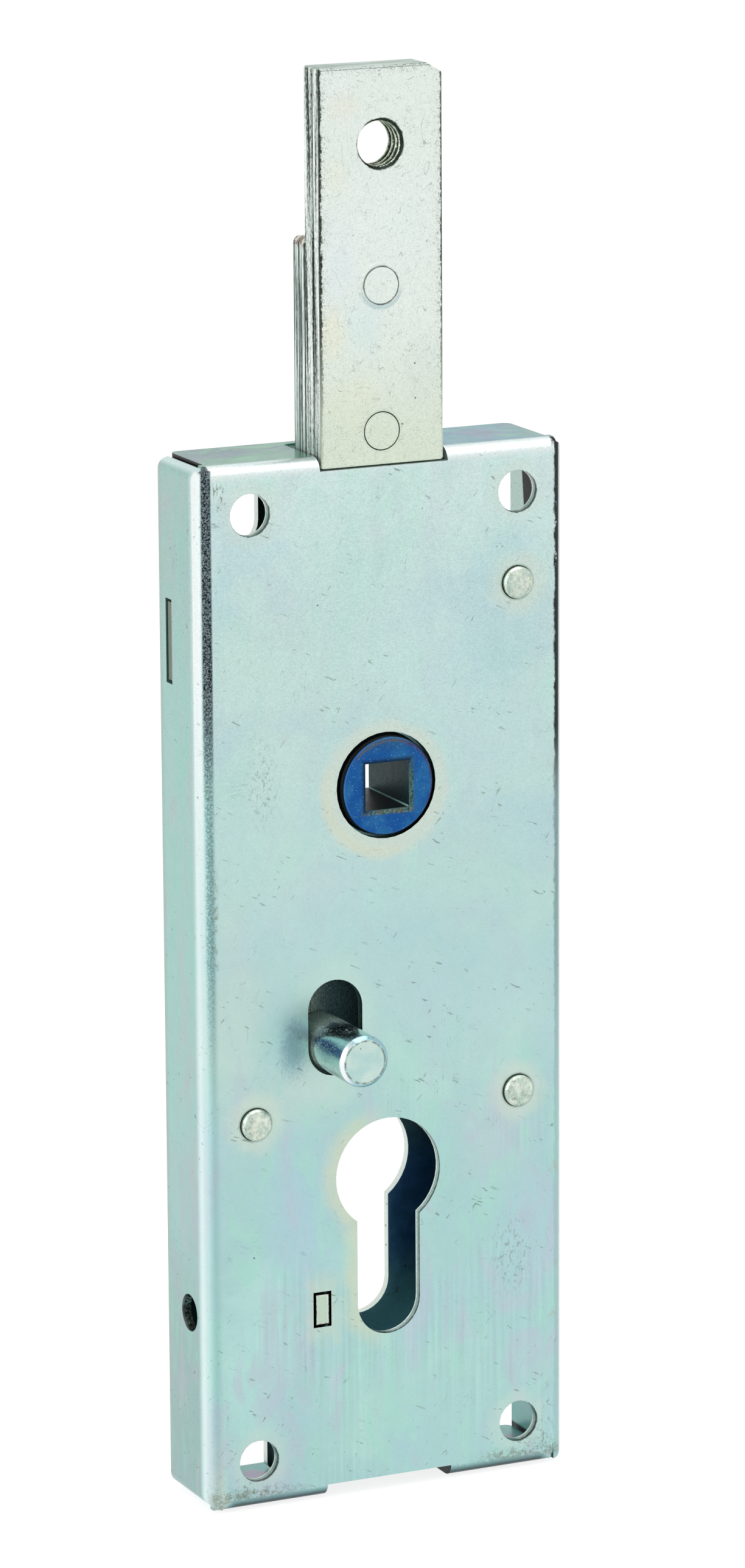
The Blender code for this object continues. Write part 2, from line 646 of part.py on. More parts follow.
def carriage_outline():
    """The carriage seen from the front: a wide body, shoulders with the spring guide's slot, and a neck."""
    neck = BOLT_WIDTH / 2
    half = CARRIAGE_HALF_WIDTH
    lug = half - LUG_BEVEL
    corner = CARRIAGE_CORNER_RADIUS
    slot_half = GUIDE_ROD / 2 + GUIDE_SLOT_GAP
    slot_floor = SHOULDER_Z - GUIDE_OVERLAP - TRAVEL - GUIDE_SLOT_SPARE
    return rounded(
        (-lug, LUG_Z, LUG_RADIUS),
        (lug, LUG_Z, LUG_RADIUS),
        (half, LUG_Z + LUG_BEVEL, corner),
        (half, SHOULDER_Z, corner),
        (SPRING_X + slot_half, SHOULDER_Z, 0),
        (SPRING_X + slot_half, slot_floor, GUIDE_SLOT_RADIUS),
        (SPRING_X - slot_half, slot_floor, GUIDE_SLOT_RADIUS),
        (SPRING_X - slot_half, SHOULDER_Z, 0),
        (neck, SHOULDER_Z, corner),
        (neck, CARRIAGE_TOP_Z, corner),
        (-neck, CARRIAGE_TOP_Z, corner),
        (-neck, SHOULDER_Z, corner),
        (-half, SHOULDER_Z, SHOULDER_RADIUS),
        (-half, LUG_Z + LUG_BEVEL, corner),
    )


def hub_window():
    """The hole round the hub, long enough for the travel, with the notch that the nose works in."""
    half = HUB_BODY / 2 + WINDOW_GAP
    notch_z = HUB_Z - TRAVEL / 2
    notch_half = NOSE_RADIUS + SHEET_GAP
    notch_end = NOSE_REACH + NOSE_RADIUS + SHEET_GAP
    return rounded(
        (-half, HUB_Z - half - TRAVEL, WINDOW_RADIUS),
        (half, HUB_Z - half - TRAVEL, WINDOW_RADIUS),
        (half, notch_z - notch_half, 0),
        (notch_end, notch_z - notch_half, CARRIAGE_CORNER_RADIUS),
        (notch_end, notch_z + notch_half, CARRIAGE_CORNER_RADIUS),
        (half, notch_z + notch_half, 0),
        (half, HUB_Z + half, WINDOW_RADIUS),
        (-half, HUB_Z + half, WINDOW_RADIUS),
    )


def make_carriage_plate(name, front, bolt, zinc):
    """One of the two stamped plates that carry the bolt strips, the pin and the hub's drive."""
    holes = [circle(x, z, BOLT_RIVET + 2 * SHANK_GAP) for x, z in bolt_rivet_places()]
    holes += [circle(x, z, CARRIAGE_RIVET + 2 * SHANK_GAP) for x, z in carriage_rivet_places().values()]
    holes.append(circle(PIN_X, PIN_Z, PIN_TENON + 2 * SHANK_GAP))
    holes.append(hub_window())
    plate = cut_mesh(name, [carriage_outline()] + holes, front, front + CARRIAGE_PLATE)
    return add_object(name, plate, bolt, zinc)


def make_bolt_rivet(name, place, bolt, zinc):
    """A plain rivet set flush in all four plates."""
    radius = BOLT_RIVET / 2
    profile = [(0, BOLT_FRONT_DEPTH), (radius, BOLT_FRONT_DEPTH), (radius, CARRIAGE_REAR), (0, CARRIAGE_REAR)]
    return add_object(name, turned_mesh(name, profile, *place), bolt, zinc)


def make_carriage_rivet(name, place, bolt, zinc):
    """A rivet through both carriage plates, long enough in front to carry a glide collar."""
    shank = CARRIAGE_RIVET / 2
    head = CARRIAGE_RIVET_HEAD / 2
    front = CASE_SHEET + SHEET_GAP
    front_head_rear = front + CARRIAGE_RIVET_HEAD_THICKNESS
    rear_head_front = CARRIAGE_REAR + SHEET_GAP
    rear = rear_head_front + CARRIAGE_RIVET_HEAD_THICKNESS
    profile = [
        (0, front),
        (head, front),
        (head, front_head_rear),
        (shank, front_head_rear),
        (shank, rear_head_front),
        (head, rear_head_front),
        (head, rear),
        (0, rear),
    ]
    return add_object(name, turned_mesh(name, profile, *place), bolt, zinc)


def make_glide_collar(name, place, bolt, zinc):
    """The loose ring that keeps the carriage off the front sheet."""
    bore = CARRIAGE_RIVET / 2 + SHANK_GAP
    rim = GLIDE_COLLAR / 2
    front = CASE_SHEET + SHEET_GAP + CARRIAGE_RIVET_HEAD_THICKNESS + SHEET_GAP
    rear = CARRIAGE_FRONT_DEPTH - SHEET_GAP
    profile = [(bore, front), (rim, front), (rim, rear), (bore, rear)]
    return add_object(name, turned_mesh(name, profile, *place), bolt, zinc)


def make_operating_pin(bolt, bright):
    """The pin that a hand lifts, riveted into the carriage plates behind the slot."""
    radius = PIN_DIAMETER / 2
    tenon = PIN_TENON / 2
    head = PIN_TENON / 2 + SHEET_GAP
    shoulder = CARRIAGE_FRONT_DEPTH - SHEET_GAP
    head_front = CARRIAGE_REAR + SHEET_GAP
    rear = head_front + CARRIAGE_RIVET_HEAD_THICKNESS
    profile = [
        (0, -PIN_REACH),
        (radius - PIN_CHAMFER, -PIN_REACH),
        (radius, PIN_CHAMFER - PIN_REACH),
        (radius, shoulder),
        (tenon, shoulder),
        (tenon, head_front),
        (head, head_front),
        (head, rear),
        (0, rear),
    ]
    return add_object("operating_pin", turned_mesh("operating_pin", profile, PIN_X, PIN_Z), bolt, bright)


def make_cylinder_bracket(case, zinc):
    """The upright plate that steadies the cylinder's screw, with a tenon in the front and back sheets."""
    low = BRACKET_Z - BRACKET_HEIGHT / 2
    high = BRACKET_Z + BRACKET_HEIGHT / 2
    tenon_low = BRACKET_Z - BRACKET_TENON_HEIGHT / 2
    tenon_high = BRACKET_Z + BRACKET_TENON_HEIGHT / 2
    front = CASE_SHEET + SHEET_GAP
    rear = BACK_PLATE_DEPTH - SHEET_GAP
    corner = BRACKET_CORNER_RADIUS
    outline = rounded(
        (front, low, corner),
        (rear, low, corner),
        (rear, tenon_low, 0),
        (BACK_PLATE_REAR, tenon_low, 0),
        (BACK_PLATE_REAR, tenon_high, 0),
        (rear, tenon_high, 0),
        (rear, high, corner),
        (front, high, corner),
        (front, tenon_high, 0),
        (0, tenon_high, 0),
        (0, tenon_low, 0),
        (front, tenon_low, 0),
    )
    hole = circle(SIDE_SCREW_DEPTH, BRACKET_Z, BRACKET_HOLE)
    half = BRACKET_THICKNESS / 2
    mesh = cut_mesh("bracket", [outline, hole], BRACKET_X - half, BRACKET_X + half, FROM_SIDE)
    return add_object("cylinder_screw_bracket", mesh, case, zinc)


def spring_seats():
    """The heights of the shoulder below the return spring and of the guide's head above it."""
    head_low = FLANGE_INNER_TOP - SHEET_GAP - GUIDE_HEAD_THICKNESS
    return SHOULDER_Z + SHEET_GAP, head_low - SHEET_GAP


def make_spring_guide(case, zinc):
    """The headed rod inside the return spring, which stands in the slot of the carriage shoulders."""
    rod = GUIDE_ROD / 2
    head = SPRING_DIAMETER / 2
    head_high = FLANGE_INNER_TOP - SHEET_GAP
    head_low = head_high - GUIDE_HEAD_THICKNESS
    foot = SHOULDER_Z - GUIDE_OVERLAP
    profile = [(0, foot), (rod, foot), (rod, head_low), (head, head_low), (head, head_high), (0, head_high)]
    mesh = turned_mesh("spring_guide_rod", profile, 0, 0)
    mesh.transform(Matrix.Translation((SPRING_X, CARRIAGE_MIDDLE, 0)) @ ACROSS_FRONT)
    return add_object("spring_guide_rod", mesh, case, zinc)


def make_bolt_spring(case, steel):
    """The compression spring that holds the bolt down, with a closed turn at each end."""
    wire = SPRING_WIRE / 2
    seat_low, seat_high = spring_seats()
    low = seat_low + wire
    closed = SPRING_CLOSED_PITCH
    open_pitch = (seat_high - wire - low - 2 * closed) / (SPRING_TURNS - 2)
    curve = bpy.data.curves.new("bolt_spring", "CURVE")
    curve.dimensions = "3D"
    curve.bevel_depth = wire
    curve.bevel_resolution = 1
    curve.use_fill_caps = True
    spline = curve.splines.new("POLY")
    steps = SPRING_TURNS * SPRING_STEPS
    spline.points.add(steps)
    radius = (SPRING_DIAMETER - SPRING_WIRE) / 2
    for step, point in enumerate(spline.points):
        turn = step / SPRING_STEPS
        first = min(turn, 1)
        last = max(turn - SPRING_TURNS + 1, 0)
        height = low + closed * (first + last) + open_pitch * (turn - first - last)
        angle = 2 * math.pi * turn
        x = SPRING_X + radius * math.cos(angle)
        point.co = (x, CARRIAGE_MIDDLE + radius * math.sin(angle), height, 1)
    spring = bpy.data.objects.new("bolt_spring", curve)
    bpy.context.scene.collection.objects.link(spring)
    spring.parent = case
    curve.materials.append(steel)
    return spring


def make_lock():
    clear_scene()
    zinc = finish("zinc_plate", (0.66, 0.74, 0.72), 0.38)
    strip_zinc = finish("strip_zinc", (0.70, 0.73, 0.68), 0.42)
    bright = finish("bright_steel", (0.62, 0.66, 0.68), 0.22)
    blued = finish("blued_steel", (0.06, 0.13, 0.32), 0.35)
    spring_steel = finish("spring_steel", (0.48, 0.49, 0.50), 0.32)

    case = axis_empty("lock_case", 0, 0)
    bolt = axis_empty("bolt_travel", 0, 0)
    hub_axis = axis_empty("hub_axis", 0, HUB_Z)

    make_case_shell(case, zinc)
    make_back_plate(case, zinc)
    for name, place in zip(("upper_right", "lower_right", "lower_left"), pillar_places()):
        make_pillar(f"pillar_{name}", place, case, zinc)
    make_hub_washer(case, zinc)
    make_cylinder_bracket(case, zinc)
    make_spring_guide(case, bright)
    make_bolt_spring(case, spring_steel)

    threaded_foot = BOLT_FOOT_Z - BOLT_OVERLAP
    make_bolt_plate("bolt_front_plate", BOLT_FOOT_Z, BOLT_FRONT_DEPTH, BOLT_FRONT_THICKNESS, bolt, strip_zinc)
    make_bolt_plate("bolt_threaded_plate", threaded_foot, BOLT_THREADED_DEPTH, BOLT_THREADED_THICKNESS, bolt,
                    strip_zinc)
    make_carriage_plate("carriage_front_plate", CARRIAGE_FRONT_DEPTH, bolt, strip_zinc)
    make_carriage_plate("carriage_rear_plate", CARRIAGE_REAR_DEPTH, bolt, strip_zinc)
    for name, place in zip(("lower", "upper"), bolt_rivet_places()):
        make_bolt_rivet(f"bolt_rivet_{name}", place, bolt, strip_zinc)
    for name, place in carriage_rivet_places().items():
        make_carriage_rivet(f"carriage_rivet_{name}", place, bolt, bright)
        make_glide_collar(f"glide_collar_{name}", place, bolt, bright)
    make_operating_pin(bolt, bright)
    make_hub(hub_axis, blued)


make_lock()
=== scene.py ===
"""The looks of the garage door lock: finishes for every piece, a few finer shapes, a pale studio, the camera.

Lengths in the geometry are metres; the finishes think in millimetres, measured from the same origin."""

import functools
import json
import math

import bmesh
import bpy
from mathutils import Matrix, Vector

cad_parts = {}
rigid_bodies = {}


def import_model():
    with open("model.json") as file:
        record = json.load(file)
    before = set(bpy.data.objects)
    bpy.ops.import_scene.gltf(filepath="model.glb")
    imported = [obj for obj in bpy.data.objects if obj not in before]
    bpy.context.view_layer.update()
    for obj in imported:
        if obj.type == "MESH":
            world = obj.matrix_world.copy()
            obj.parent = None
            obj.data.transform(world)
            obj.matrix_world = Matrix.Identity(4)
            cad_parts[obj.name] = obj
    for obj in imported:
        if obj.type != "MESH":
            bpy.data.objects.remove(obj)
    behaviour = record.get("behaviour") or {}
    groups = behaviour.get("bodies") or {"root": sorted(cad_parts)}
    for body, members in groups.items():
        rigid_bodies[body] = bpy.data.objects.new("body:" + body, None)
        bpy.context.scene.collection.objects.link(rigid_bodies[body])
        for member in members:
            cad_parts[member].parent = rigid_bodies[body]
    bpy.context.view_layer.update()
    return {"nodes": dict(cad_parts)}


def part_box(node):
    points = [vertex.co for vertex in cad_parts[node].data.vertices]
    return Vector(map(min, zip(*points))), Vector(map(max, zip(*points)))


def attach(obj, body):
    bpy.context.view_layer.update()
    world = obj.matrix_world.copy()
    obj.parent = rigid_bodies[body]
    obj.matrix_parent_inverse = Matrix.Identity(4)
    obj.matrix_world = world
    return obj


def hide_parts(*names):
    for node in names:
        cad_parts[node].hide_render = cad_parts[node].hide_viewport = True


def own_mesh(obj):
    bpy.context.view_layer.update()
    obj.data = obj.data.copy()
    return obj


MM = 0.001
FACE_Y = -2.45  # the case's front face, in millimetres
CASE_HEIGHT = 161.5
HUB_Z = 110.9
SCREWS = [(-22, 7.55), (22, 7.55), (-22, 153.95), (22, 153.95)]
PILLARS = [(22, 140.0), (22, 60.7), (-22, 60.7)]
PIN = (-8.7, 71.4)
CYLINDER_Z = 50.3
SLOT_FOOT_Z = 30.1
BRACKET = (-11.2, 30.15)
BOLT_RIVETS = [(0, 164.7), (0, 186.5)]
THREAD = (0, 207.5)
SPRING_WIRE = 0.7
SPRING_TURNS = 10
SPRING_CLOSED_PITCH = 0.85
THREAD_ROOT, THREAD_CREST, THREAD_PITCH = 3.80, 3.32, 1.25
THREAD_FRONT, THREAD_REAR = FACE_Y + 0.78, FACE_Y + 5.82
TURNED_STEPS, THREAD_STEPS, THREAD_ROWS = 96, 72, 14
HARD_EDGE = math.radians(32)

CAMERA_PLACE = (-0.41467, -0.88592, 0.33477)
CAMERA_AZIMUTH, CAMERA_ELEVATION, CAMERA_ROLL = (math.radians(turn) for turn in (25.023, 12.910, 0.349))
CAMERA_LENS, CAMERA_SENSOR = 153.045, 36
WORLD_LIGHT = 0.55  # beside the 1.0 that the camera, glass and metal see
FLOOR_HALF, FLOOR_Z = 3.0, -0.0002
FLOOR_GLOW = 0.83
FLOOR_LIT, FLOOR_SEEN = (0.8, 0.8, 0.8, 1), (0.33, 0.33, 0.33, 1)
LAMP_POWER = 2.6


def tone(red, green, blue):
    """A colour given as it shows on screen, from 0 to 255."""
    levels = (value / 255 for value in (red, green, blue))
    linear = [level / 12.92 if level <= 0.04045 else ((level + 0.055) / 1.055) ** 2.4 for level in levels]
    return (*linear, 1)


class Look:
    """A finish: a Principled shader, the colour painted so far, and short calls for the nodes that feed them.

    Colours are given as they show on screen, from 0 to 255."""

    def __init__(self, name):
        self.material = bpy.data.materials.new(name)
        self.material.use_nodes = True
        self.tree = self.material.node_tree
        self.shader = self.tree.nodes["Principled BSDF"]
        self.shader.inputs["Metallic"].default_value = 1.0
        self.normal = None
        place = self.node("ShaderNodeTexCoord").outputs["Object"]
        self.place = self.vector("MULTIPLY", place, (1 / MM,) * 3)
        self.x, self.y, self.z = self.node("ShaderNodeSeparateXYZ", Vector=self.place).outputs
        self.across = self.abs(self.x)
        self.depth = self.minus(self.y, FACE_Y)
        faces = self.node("ShaderNodeNewGeometry").outputs["Normal"]
        local = self.node("ShaderNodeVectorTransform", Vector=faces)
        local.vector_type = "NORMAL"
        local.convert_from = "WORLD"
        local.convert_to = "OBJECT"
        self.facing = self.node("ShaderNodeSeparateXYZ", Vector=local.outputs[0]).outputs

    def feed(self, socket, value):
        if isinstance(value, bpy.types.Node):
            value = value.outputs[0]
        if isinstance(value, bpy.types.NodeSocket):
            self.tree.links.new(value, socket)
        else:
            socket.default_value = value

    def node(self, kind, **inputs):
        made = self.tree.nodes.new(kind)
        for name, value in inputs.items():
            self.feed(made.inputs[name.replace("_", " ")], value)
        return made

    def calc(self, operation, first, second=0.5, third=0.5):
        made = self.tree.nodes.new("ShaderNodeMath")
        made.operation = operation
        for socket, value in zip(made.inputs, (first, second, third)):
            self.feed(socket, value)
        return made.outputs[0]

    def vector(self, operation, first, second):
        made = self.tree.nodes.new("ShaderNodeVectorMath")
        made.operation = operation
        self.feed(made.inputs[0], first)
        self.feed(made.inputs[1], second)
        return made.outputs["Vector"]

    def add(self, *values):
        return functools.reduce(lambda total, value: self.calc("ADD", total, value), values)

    def times(self, *values):
        return functools.reduce(lambda total, value: self.calc("MULTIPLY", total, value), values)

    def minus(self, value, less):
        return self.calc("SUBTRACT", value, less)

    def rest(self, share):
        return self.minus(1.0, share)

    def most(self, first, second):
        return self.calc("MAXIMUM", first, second)

    def least(self, first, second):
        return self.calc("MINIMUM", first, second)

    def abs(self, value):
        return self.calc("ABSOLUTE", value)

    def off(self, value, middle):
        """How far the value is from the middle, to either side."""
        return self.abs(self.minus(value, middle))

    def length(self, across, along):
        return self.calc("SQRT", self.add(self.times(across, across), self.times(along, along)))

    def ramp(self, value, slope, start):
        return self.calc("MULTIPLY_ADD", value, slope, start)

    def spread(self, value, amount, middle=1.0):
        """A value round 0.5 turned into one round the middle that varies by the amount."""
        return self.ramp(self.minus(value, 0.5), amount, middle)

    def ease(self, value, start, end):
        """0 at the start and 1 at the end, with a soft way between."""
        made = self.node("ShaderNodeMapRange", Value=value)
        made.interpolation_type = "SMOOTHSTEP"
        made.inputs["From Min"].default_value = min(start, end)
        made.inputs["From Max"].default_value = max(start, end)
        made.inputs["To Min"].default_value = 0.0 if start < end else 1.0
        made.inputs["To Max"].default_value = 1.0 if start < end else 0.0
        return made.outputs[0]

    def right(self, start, end):
        return self.ease(self.x, start, end)

    def up(self, start, end):
        return self.ease(self.z, start, end)

    def deep(self, start, end):
        return self.ease(self.depth, start, end)

    def outward(self, start, end):
        return self.ease(self.across, start, end)

    def fray(self, value, noise, amount):
        """The value made ragged by a noise round 0.5."""
        return self.add(value, self.spread(noise, amount, 0.0))

    def band(self, value, low, high, soft):
        return self.times(
            self.ease(value, low - soft, low + soft), self.ease(value, high + soft, high - soft)
        )

    def spot(self, stretch, seed, step):
        return self.vector(
            "ADD", self.vector("MULTIPLY", self.place, stretch), tuple(seed * part for part in step)
        )

    def noise(self, scale, detail=2.0, rough=0.55, stretch=(1, 1, 1), seed=0.0, bend=0.0):
        """Cloudy values round 0.5, with the scale in cycles per millimetre."""
        place = self.spot(stretch, seed, (13.1, 7.7, 3.3))
        return self.node(
            "ShaderNodeTexNoise", Vector=place, Scale=scale, Detail=detail, Roughness=rough, Distortion=bend
        ).outputs[0]

    def clumps(self, low, high, *scale, **shape):
        """The noise with its middle values drawn apart: 0 below low and 1 above high."""
        return self.ease(self.noise(*scale, **shape), low, high)

    def specks(self, scale, size, share, seed=0.0):
        """Sparse small spots: 1 inside a spot. The share is the part of the cells that hold one."""
        place = self.spot((1, 1, 1), seed, (5.3, 9.1, 2.9))
        cells = self.node("ShaderNodeTexVoronoi", Vector=place, Scale=scale)
        near = self.ease(cells.outputs["Distance"], size, size * 0.45)
        picked = self.node("ShaderNodeSeparateColor", Color=cells.outputs["Color"]).outputs[0]
        return self.times(near, self.ease(picked, 1 - share, 1 - share + 0.01))

    def marks(self, scale, level, seed=0.0, stretch=(1, 1, 1)):
        """Ragged small marks: 1 where a rough noise stands above the level."""
        return self.ease(self.noise(scale, 5, 0.8, stretch=stretch, seed=seed), level, level + 0.035)

    def away(self, x, z, squeeze=1.0):
        """The distance in the front view from the upright line at (x, z)."""
        return self.length(self.minus(self.x, x), self.times(self.minus(self.z, z), squeeze))

    def halo(self, distance, inner, outer, wobble=None):
        """1 at the inner distance, fading to 0 at the outer one, and 1 further in."""
        if wobble is not None:
            distance = self.add(distance, wobble)
        return self.ease(distance, outer, inner)

    def mix(self, share, under, over, blend="MIX"):
        made = self.tree.nodes.new("ShaderNodeMix")
        made.data_type = "RGBA"
        made.blend_type = blend
        made.clamp_factor = True
        self.feed(made.inputs[0], share)
        for socket, value in ((made.inputs[6], under), (made.inputs[7], over)):
            self.feed(socket, tone(*value) if isinstance(value, tuple) else value)
        return made.outputs[2]

    def layers(self, colour, *coats):
        """The colour under several coats, each given as a share and a tint."""
        for share, tint in coats:
            colour = self.mix(share, colour, tint)
        return colour

    def ground(self, value, low, high, under, over):
        """The first colour: two tints, divided by a cloudy value."""
        self.colour = self.mix(self.ease(value, low, high), under, over)

    def paint(self, tint, *shares):
        """Lays a tint over the colour, as strongly as all the shares together say."""
        self.colour = self.mix(self.times(*shares), self.colour, tint)

    def tints(self, patch, wobble, *spots):
        """Soft spots, each given by its middle, its half width and height, a share and a tint."""
        for x, z, across, along, share, tint in spots:
            spot = self.fray(self.away(x, z, across / along), patch, across * wobble)
            self.paint(tint, self.ease(spot, across * 1.1, across * 0.2), share)

    def shade(self, colour, factor):
        """The colour made lighter or darker by a factor."""
        grey = self.node("ShaderNodeCombineColor", Red=factor, Green=factor, Blue=factor)
        return self.mix(1.0, colour, grey.outputs[0], "MULTIPLY")

    def vary(self, factor):
        self.colour = self.shade(self.colour, factor)

    def relief(self, height, depth):
        """Raises the surface by up to the depth in millimetres, on top of the relief made so far."""
        made = self.node("ShaderNodeBump", Height=height, Distance=depth * MM, Strength=1.0)
        if self.normal is not None:
            self.feed(made.inputs["Normal"], self.normal)
        self.normal = made.outputs[0]

    def done(self, rough, **others):
        """Feeds the shader and gives the material."""
        others.update(Base_Color=self.colour, Roughness=rough, Normal=self.normal)
        for name, value in others.items():
            self.feed(self.shader.inputs[name.replace("_", " ")], value)
        return self.material


def zinc_case():
    """Pale blue-green plating with cloudy tints, halos round the holes and rivets, scratches and stains, and
    painted highlights, painted shade and painted reflections on the bends, the flanges, the gaps, the slits
    and the inside.
    """
    look = Look("zinc_case")
    cloud = look.noise(0.035, 3, seed=1)
    patch = look.noise(0.060, 4, seed=2, bend=0.6)
    wobble = look.spread(look.noise(0.28, 3, seed=4), 3.2, 0.0)

    height = look.ease(look.fray(look.z, cloud, 70), 35, 135)
    look.colour = look.mix(height, (168, 205, 203), (190, 217, 213))
    crown = look.ease(look.fray(look.z, patch, 24), 134, 162)
    look.paint((205, 226, 223), crown)
    look.paint((170, 202, 211), look.ease(patch, 0.48, 0.72), 0.45)
    look.paint((184, 222, 208), look.ease(patch, 0.50, 0.28), 0.45)

    # Tints of the passivation, thicker in some places than in others
    look.tints(
        patch, 1.4,
        (-15, 46, 9, 15, 0.55, (171, 202, 216)), (19, 52, 9, 10, 0.50, (188, 201, 208)),
        (24, 38, 8, 16, 0.40, (174, 204, 214)), (-25, 78, 6, 22, 0.45, (196, 212, 204)),
        (-13, 65, 10, 6, 0.50, (198, 213, 205)), (2, 15, 24, 9, 0.45, (172, 211, 203)),
        (16, 98, 14, 10, 0.40, (181, 215, 206)), (8, 132, 18, 16, 0.35, (198, 225, 223)),
        (-4, 90, 16, 8, 0.35, (172, 208, 212)), (-18, 128, 10, 22, 0.30, (201, 220, 213)),
        (18, 118, 12, 12, 0.30, (184, 210, 216)), (12, 78, 16, 8, 0.35, (178, 206, 213)),
        (-22, 22, 8, 18, 0.60, (180, 220, 214)),
    )

    # Finer pearly mottling, drawn out along the sheet
    mottle = look.noise(0.15, 4, 0.6, stretch=(1, 1, 0.4), seed=25, bend=0.8)
    lower_half = look.spread(look.up(80, 50), 0.40, 0.36)
    look.paint((182, 194, 206), look.ease(mottle, 0.50, 0.62), lower_half)
    look.paint((166, 214, 200), look.ease(mottle, 0.46, 0.34), lower_half)

    # Upright brushing, strongest low down
    brushed = look.noise(1.3, 3, 0.6, stretch=(1, 1, 0.025), seed=7)
    low_down = look.times(look.up(78, 52), look.clumps(0.42, 0.60, 0.05, 2, seed=17))
    streaks = look.times(look.minus(brushed, 0.5), low_down)
    look.vary(look.ramp(streaks, 0.34, 1.0))

    speckle = look.clumps(0.30, 0.60, 3.2, 5, 0.8, stretch=(1, 1, 0.6), seed=10)

    # Yellowish halos where the plating bath drained from holes and rivets
    warm = (206, 213, 192)
    ring = look.away(-0.3, HUB_Z - 0.6)
    look.paint((203, 215, 204), look.halo(ring, 9.4, 11.6, look.times(wobble, 0.5)), 0.8)
    look.paint(warm, look.band(ring, 8.8, 10.4, 0.7), look.ease(look.add(look.z, look.x), 108, 98), 0.6)
    round_part = look.away(0, CYLINDER_Z)
    reach = look.least(look.most(look.z, SLOT_FOOT_Z), CYLINDER_Z)
    rise = look.minus(look.z, reach)
    slot_part = look.length(look.x, rise)
    cut = look.least(look.minus(round_part, 8.75), look.minus(slot_part, 5.25))
    left_side = look.right(2, -7)
    look.paint((207, 212, 184), look.halo(cut, 0.2, 3.4, wobble), left_side, 0.65)
    for x, z in PILLARS:
        ring = look.away(x, z)
        look.paint((208, 216, 200), look.halo(ring, 3.0, 6.0, wobble), 0.5)
        look.paint((140, 160, 152), look.halo(ring, 2.55, 2.95), 0.8)
    for x, z in SCREWS:
        ring = look.away(x, z)
        look.paint((203, 214, 203), look.halo(ring, 3.5, 5.8, wobble), 0.35)
        offset = x - 1.4 * z
        slant = look.ease(look.add(look.x, look.times(look.z, -1.4)), offset - 2, offset + 4)
        reach = look.spread(slant, 0.12, 3.28)
        rim = look.ease(look.minus(look.fray(ring, speckle, 0.12), reach), 0.04, -0.04)
        look.paint((48, 60, 58), rim, 0.85)
    slot_ring = look.away(PIN[0], 74.2, 0.62)
    look.paint((190, 217, 206), look.halo(slot_ring, 5.0, 8.6, wobble), 0.5)
    tenon_ring = look.most(look.off(look.x, BRACKET[0]), look.times(look.off(look.z, BRACKET[1]), 0.55))
    look.paint(warm, look.halo(tenon_ring, 1.5, 3.6, wobble), 0.4)

    # Grey-brown smudges of grease and wear
    rough_patch = look.clumps(0.53, 0.60, 1.3, 6, 0.75, stretch=(1.3, 1, 0.7), seed=8)
    for x, z, size, squeeze, share in (
        (-20.3, 113.0, 3.8, 0.40, 0.45), (20.8, 34.5, 5.0, 0.55, 0.55), (-24.0, 2.6, 4.5, 1.6, 0.8),
        (-27.2, 157.5, 2.2, 0.9, 0.75), (-19.5, 2.2, 3.0, 2.0, 0.6), (26.5, 2.6, 4.5, 1.3, 0.6),
        (26.6, 5.0, 2.4, 0.5, 0.5), (-27.0, 156.4, 1.8, 0.6, 0.7),
    ):
        spot = look.halo(look.away(x, z, squeeze), size * 0.2, size)
        look.paint((122, 126, 114), spot, rough_patch, share)

    # Worn and dirty lines along the edges and bends, and painted highlights, painted shade and painted
    # reflections on the bends
    front = look.deep(2.4, 1.6)
    crumbs = look.ease(
        look.add(look.noise(1.6, 6, 0.85, seed=36), look.times(look.up(4.6, 1.6), 0.12)), 0.56, 0.62
    )
    look.paint((126, 134, 122), look.band(look.z, 1.4, 3.4, 1.0), crumbs, front, look.outward(12, 20), 0.75)
    # Painted shade along the bottom bend, thinner towards the corners
    toward_corner = look.times(look.outward(25.5, 28.6), 1.5)
    foot_shade = look.add(look.z, toward_corner, look.spread(speckle, 0.3, 0.0))
    look.paint((112, 148, 150), look.ease(foot_shade, 2.1, 1.5), 0.65)
    look.paint((24, 50, 56), look.ease(look.add(look.z, toward_corner), 1.7, 0.5), 0.96)
    corner_wear = look.times(look.up(14, 2), look.band(look.x, -29.4, -27.6, 0.8), front)
    look.paint((216, 217, 198), corner_wear, 0.5)
    look.paint((140, 138, 120), corner_wear, crumbs, 0.7)
    # Painted highlight along the top bend
    look.paint((229, 237, 236), look.up(158.9, 160.2), look.deep(3.0, 1.8), 0.8)
    # Painted dark reflection along the right bend: near black high up with pale chips, blue-grey lower down
    ragged = look.fray(look.x, look.noise(0.9, 5, 0.75, stretch=(1, 1, 0.6), seed=18), 1.3)
    right_reflection = look.times(look.ease(ragged, 28.05, 28.45), look.right(29.30, 29.10), front)
    high_up = look.up(98, 118)
    chips = look.times(look.marks(1.1, 0.56, 53), look.band(look.z, 140, 152, 4), look.right(28.9, 28.5))
    look.paint(look.mix(chips, (10, 14, 14), (232, 240, 238)), right_reflection, high_up, 0.98)
    look.paint((104, 128, 134), right_reflection, look.up(118, 98), look.spread(look.up(50, 100), 0.5, 0.45))
    stains = look.times(
        look.band(look.x, 27.2, 28.9, 0.8), front, look.clumps(0.60, 0.68, 0.35, 5, 0.75, seed=19)
    )
    look.paint((176, 170, 140), stains, 0.5)
    look.paint((190, 205, 200), look.right(29.15, 29.35), look.deep(3.0, 2.0), 0.7)
    bend = look.times(look.band(look.x, -29.52, -28.25, 0.16), front)
    strokes = look.clumps(0.47, 0.55, 3.4, 5, 0.85, seed=13)
